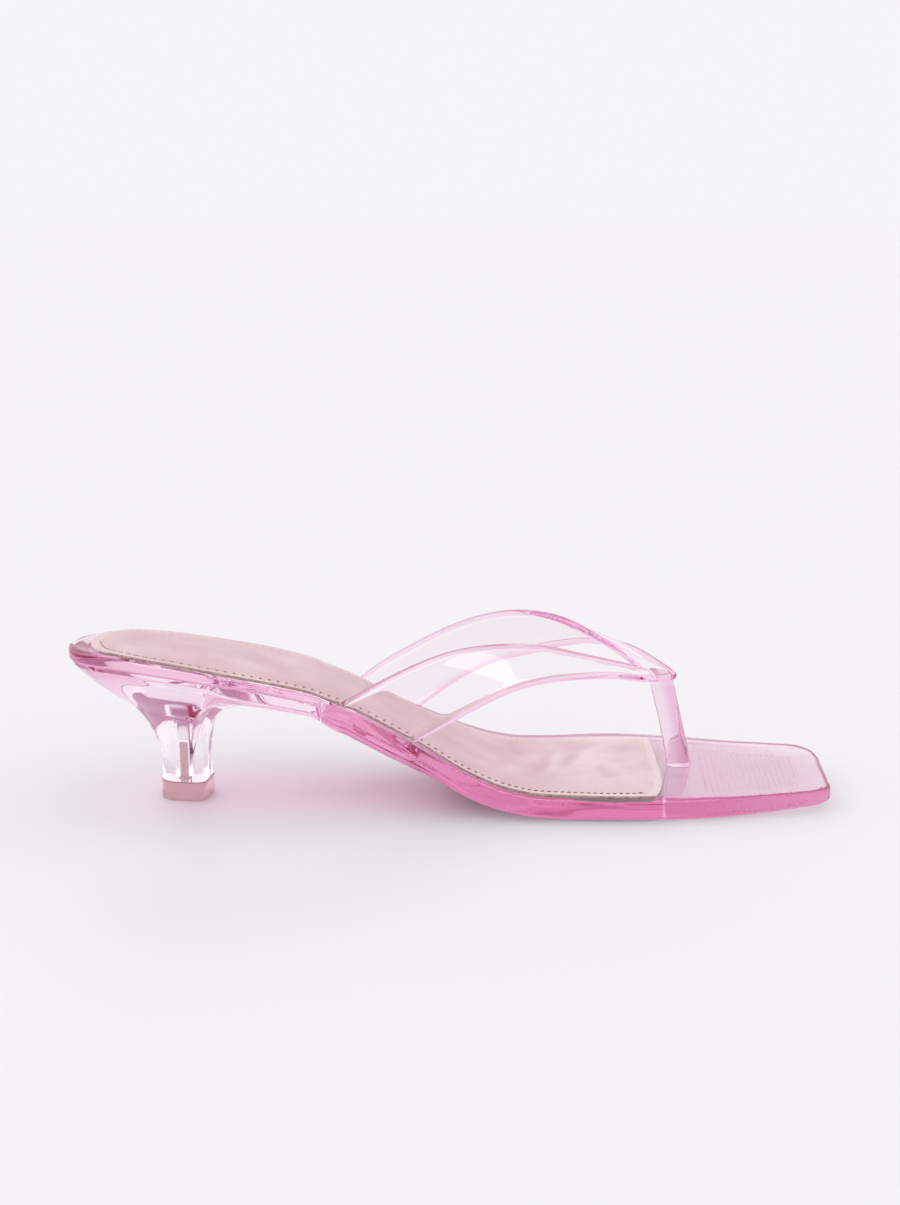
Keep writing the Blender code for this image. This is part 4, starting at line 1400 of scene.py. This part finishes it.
sun.name = "light_from_behind"
sun.rotation_euler = (math.radians(SUN_TILT), 0, math.radians(SUN_TURN))
sun.data.energy = SUN_STRENGTH
sun.data.angle = math.radians(SUN_WIDTH)
sun.data.cycles.use_multiple_importance_sampling = False
sun.visible_glossy = False
sun.visible_transmission = False
print("sun turned by", SUN_TILT, "and", SUN_TURN, "degrees")

# %% [markdown]
# ## Lights for the clear plastic
# Clear plastic shows what it mirrors. A wide strip in front gives it highlights, and light linking keeps it
# off the leather and the floor. Real plastic also throws pink light on the floor under the arch, which a weak
# pink panel adds, and two small cards beside the heel tip brighten the clear stem from below.

# %% Strip, glow and cards
STRIP_PLACE = (0, -0.7, 0.8)
STRIP_TILT = 42
STRIP_SIZE = (1200, 600)
STRIP_POWER = 7.0
GLOW_PINK = (1.0, 0.35, 0.64)
CARD_WHITE = (1.0, 0.96, 1.0)


def panel_light(name, place, tilt, size, power, colour):
    bpy.ops.object.light_add(type="AREA", location=place, rotation=(math.radians(tilt), 0, 0))
    panel = bpy.context.object
    panel.name = name
    panel.data.shape = "RECTANGLE"
    panel.data.size = size[0] * MM
    panel.data.size_y = size[1] * MM
    panel.data.energy = power
    panel.data.color = colour
    return panel


def small_panel(name, spot, tilt, size, power, colour):
    panel = panel_light(name, np.array(spot) * MM + PLACE, tilt, size, power, colour)
    panel.visible_camera = False
    return panel


strip = panel_light("strip_for_highlights", STRIP_PLACE, STRIP_TILT, STRIP_SIZE, STRIP_POWER, (1, 1, 1))
strip.visible_diffuse = False
strip.visible_transmission = False
shiny = bpy.data.collections.new("lit_by_the_strip")
for piece in (sole, upper, heel, tip):
    shiny.objects.link(piece)
strip.light_linking.receiver_collection = shiny
glow = small_panel("pink_light_under_the_arch", (-45, -3, 8), 0, (120, 50), 0.003, GLOW_PINK)
glow.visible_glossy = False
glow.visible_transmission = False
small_panel("card_behind_the_tip", (-106, -3, 0.5), 180, (22, 36), 0.0021, CARD_WHITE)
small_panel("card_before_the_tip", (-56, -3, 0.5), 180, (30, 50), 0.004, CARD_WHITE)
scene.view_settings.view_transform = "Standard"
scene.cycles.max_bounces = 96
scene.cycles.transmission_bounces = 64
scene.cycles.glossy_bounces = 64
scene.cycles.transparent_max_bounces = 24

# %% [markdown]
# ## Camera
# The camera stands where the photo was taken from, on the outer side and a little above the sandal. Its lens
# is given as a focal length in pixels of the photo, which Blender wants in millimetres of its sensor.

# %% Camera
FOCAL_PIXELS = 2000
FRAME_HEIGHT = 1205
SENSOR = 36.0
CAMERA_PLACE = np.array([-24.66, -633.53, 188.2])
CAMERA_PITCH = 11.24
CAMERA_YAW = 2.5
bpy.ops.object.camera_add(location=CAMERA_PLACE * MM + PLACE)
camera = bpy.context.object
camera.name = "camera"
camera.rotation_euler = (math.radians(90 - CAMERA_PITCH), 0, math.radians(-CAMERA_YAW))
camera.data.sensor_width = SENSOR
camera.data.lens = FOCAL_PIXELS * SENSOR / FRAME_HEIGHT
scene.camera = camera
print("camera lens", round(camera.data.lens, 2), "mm")
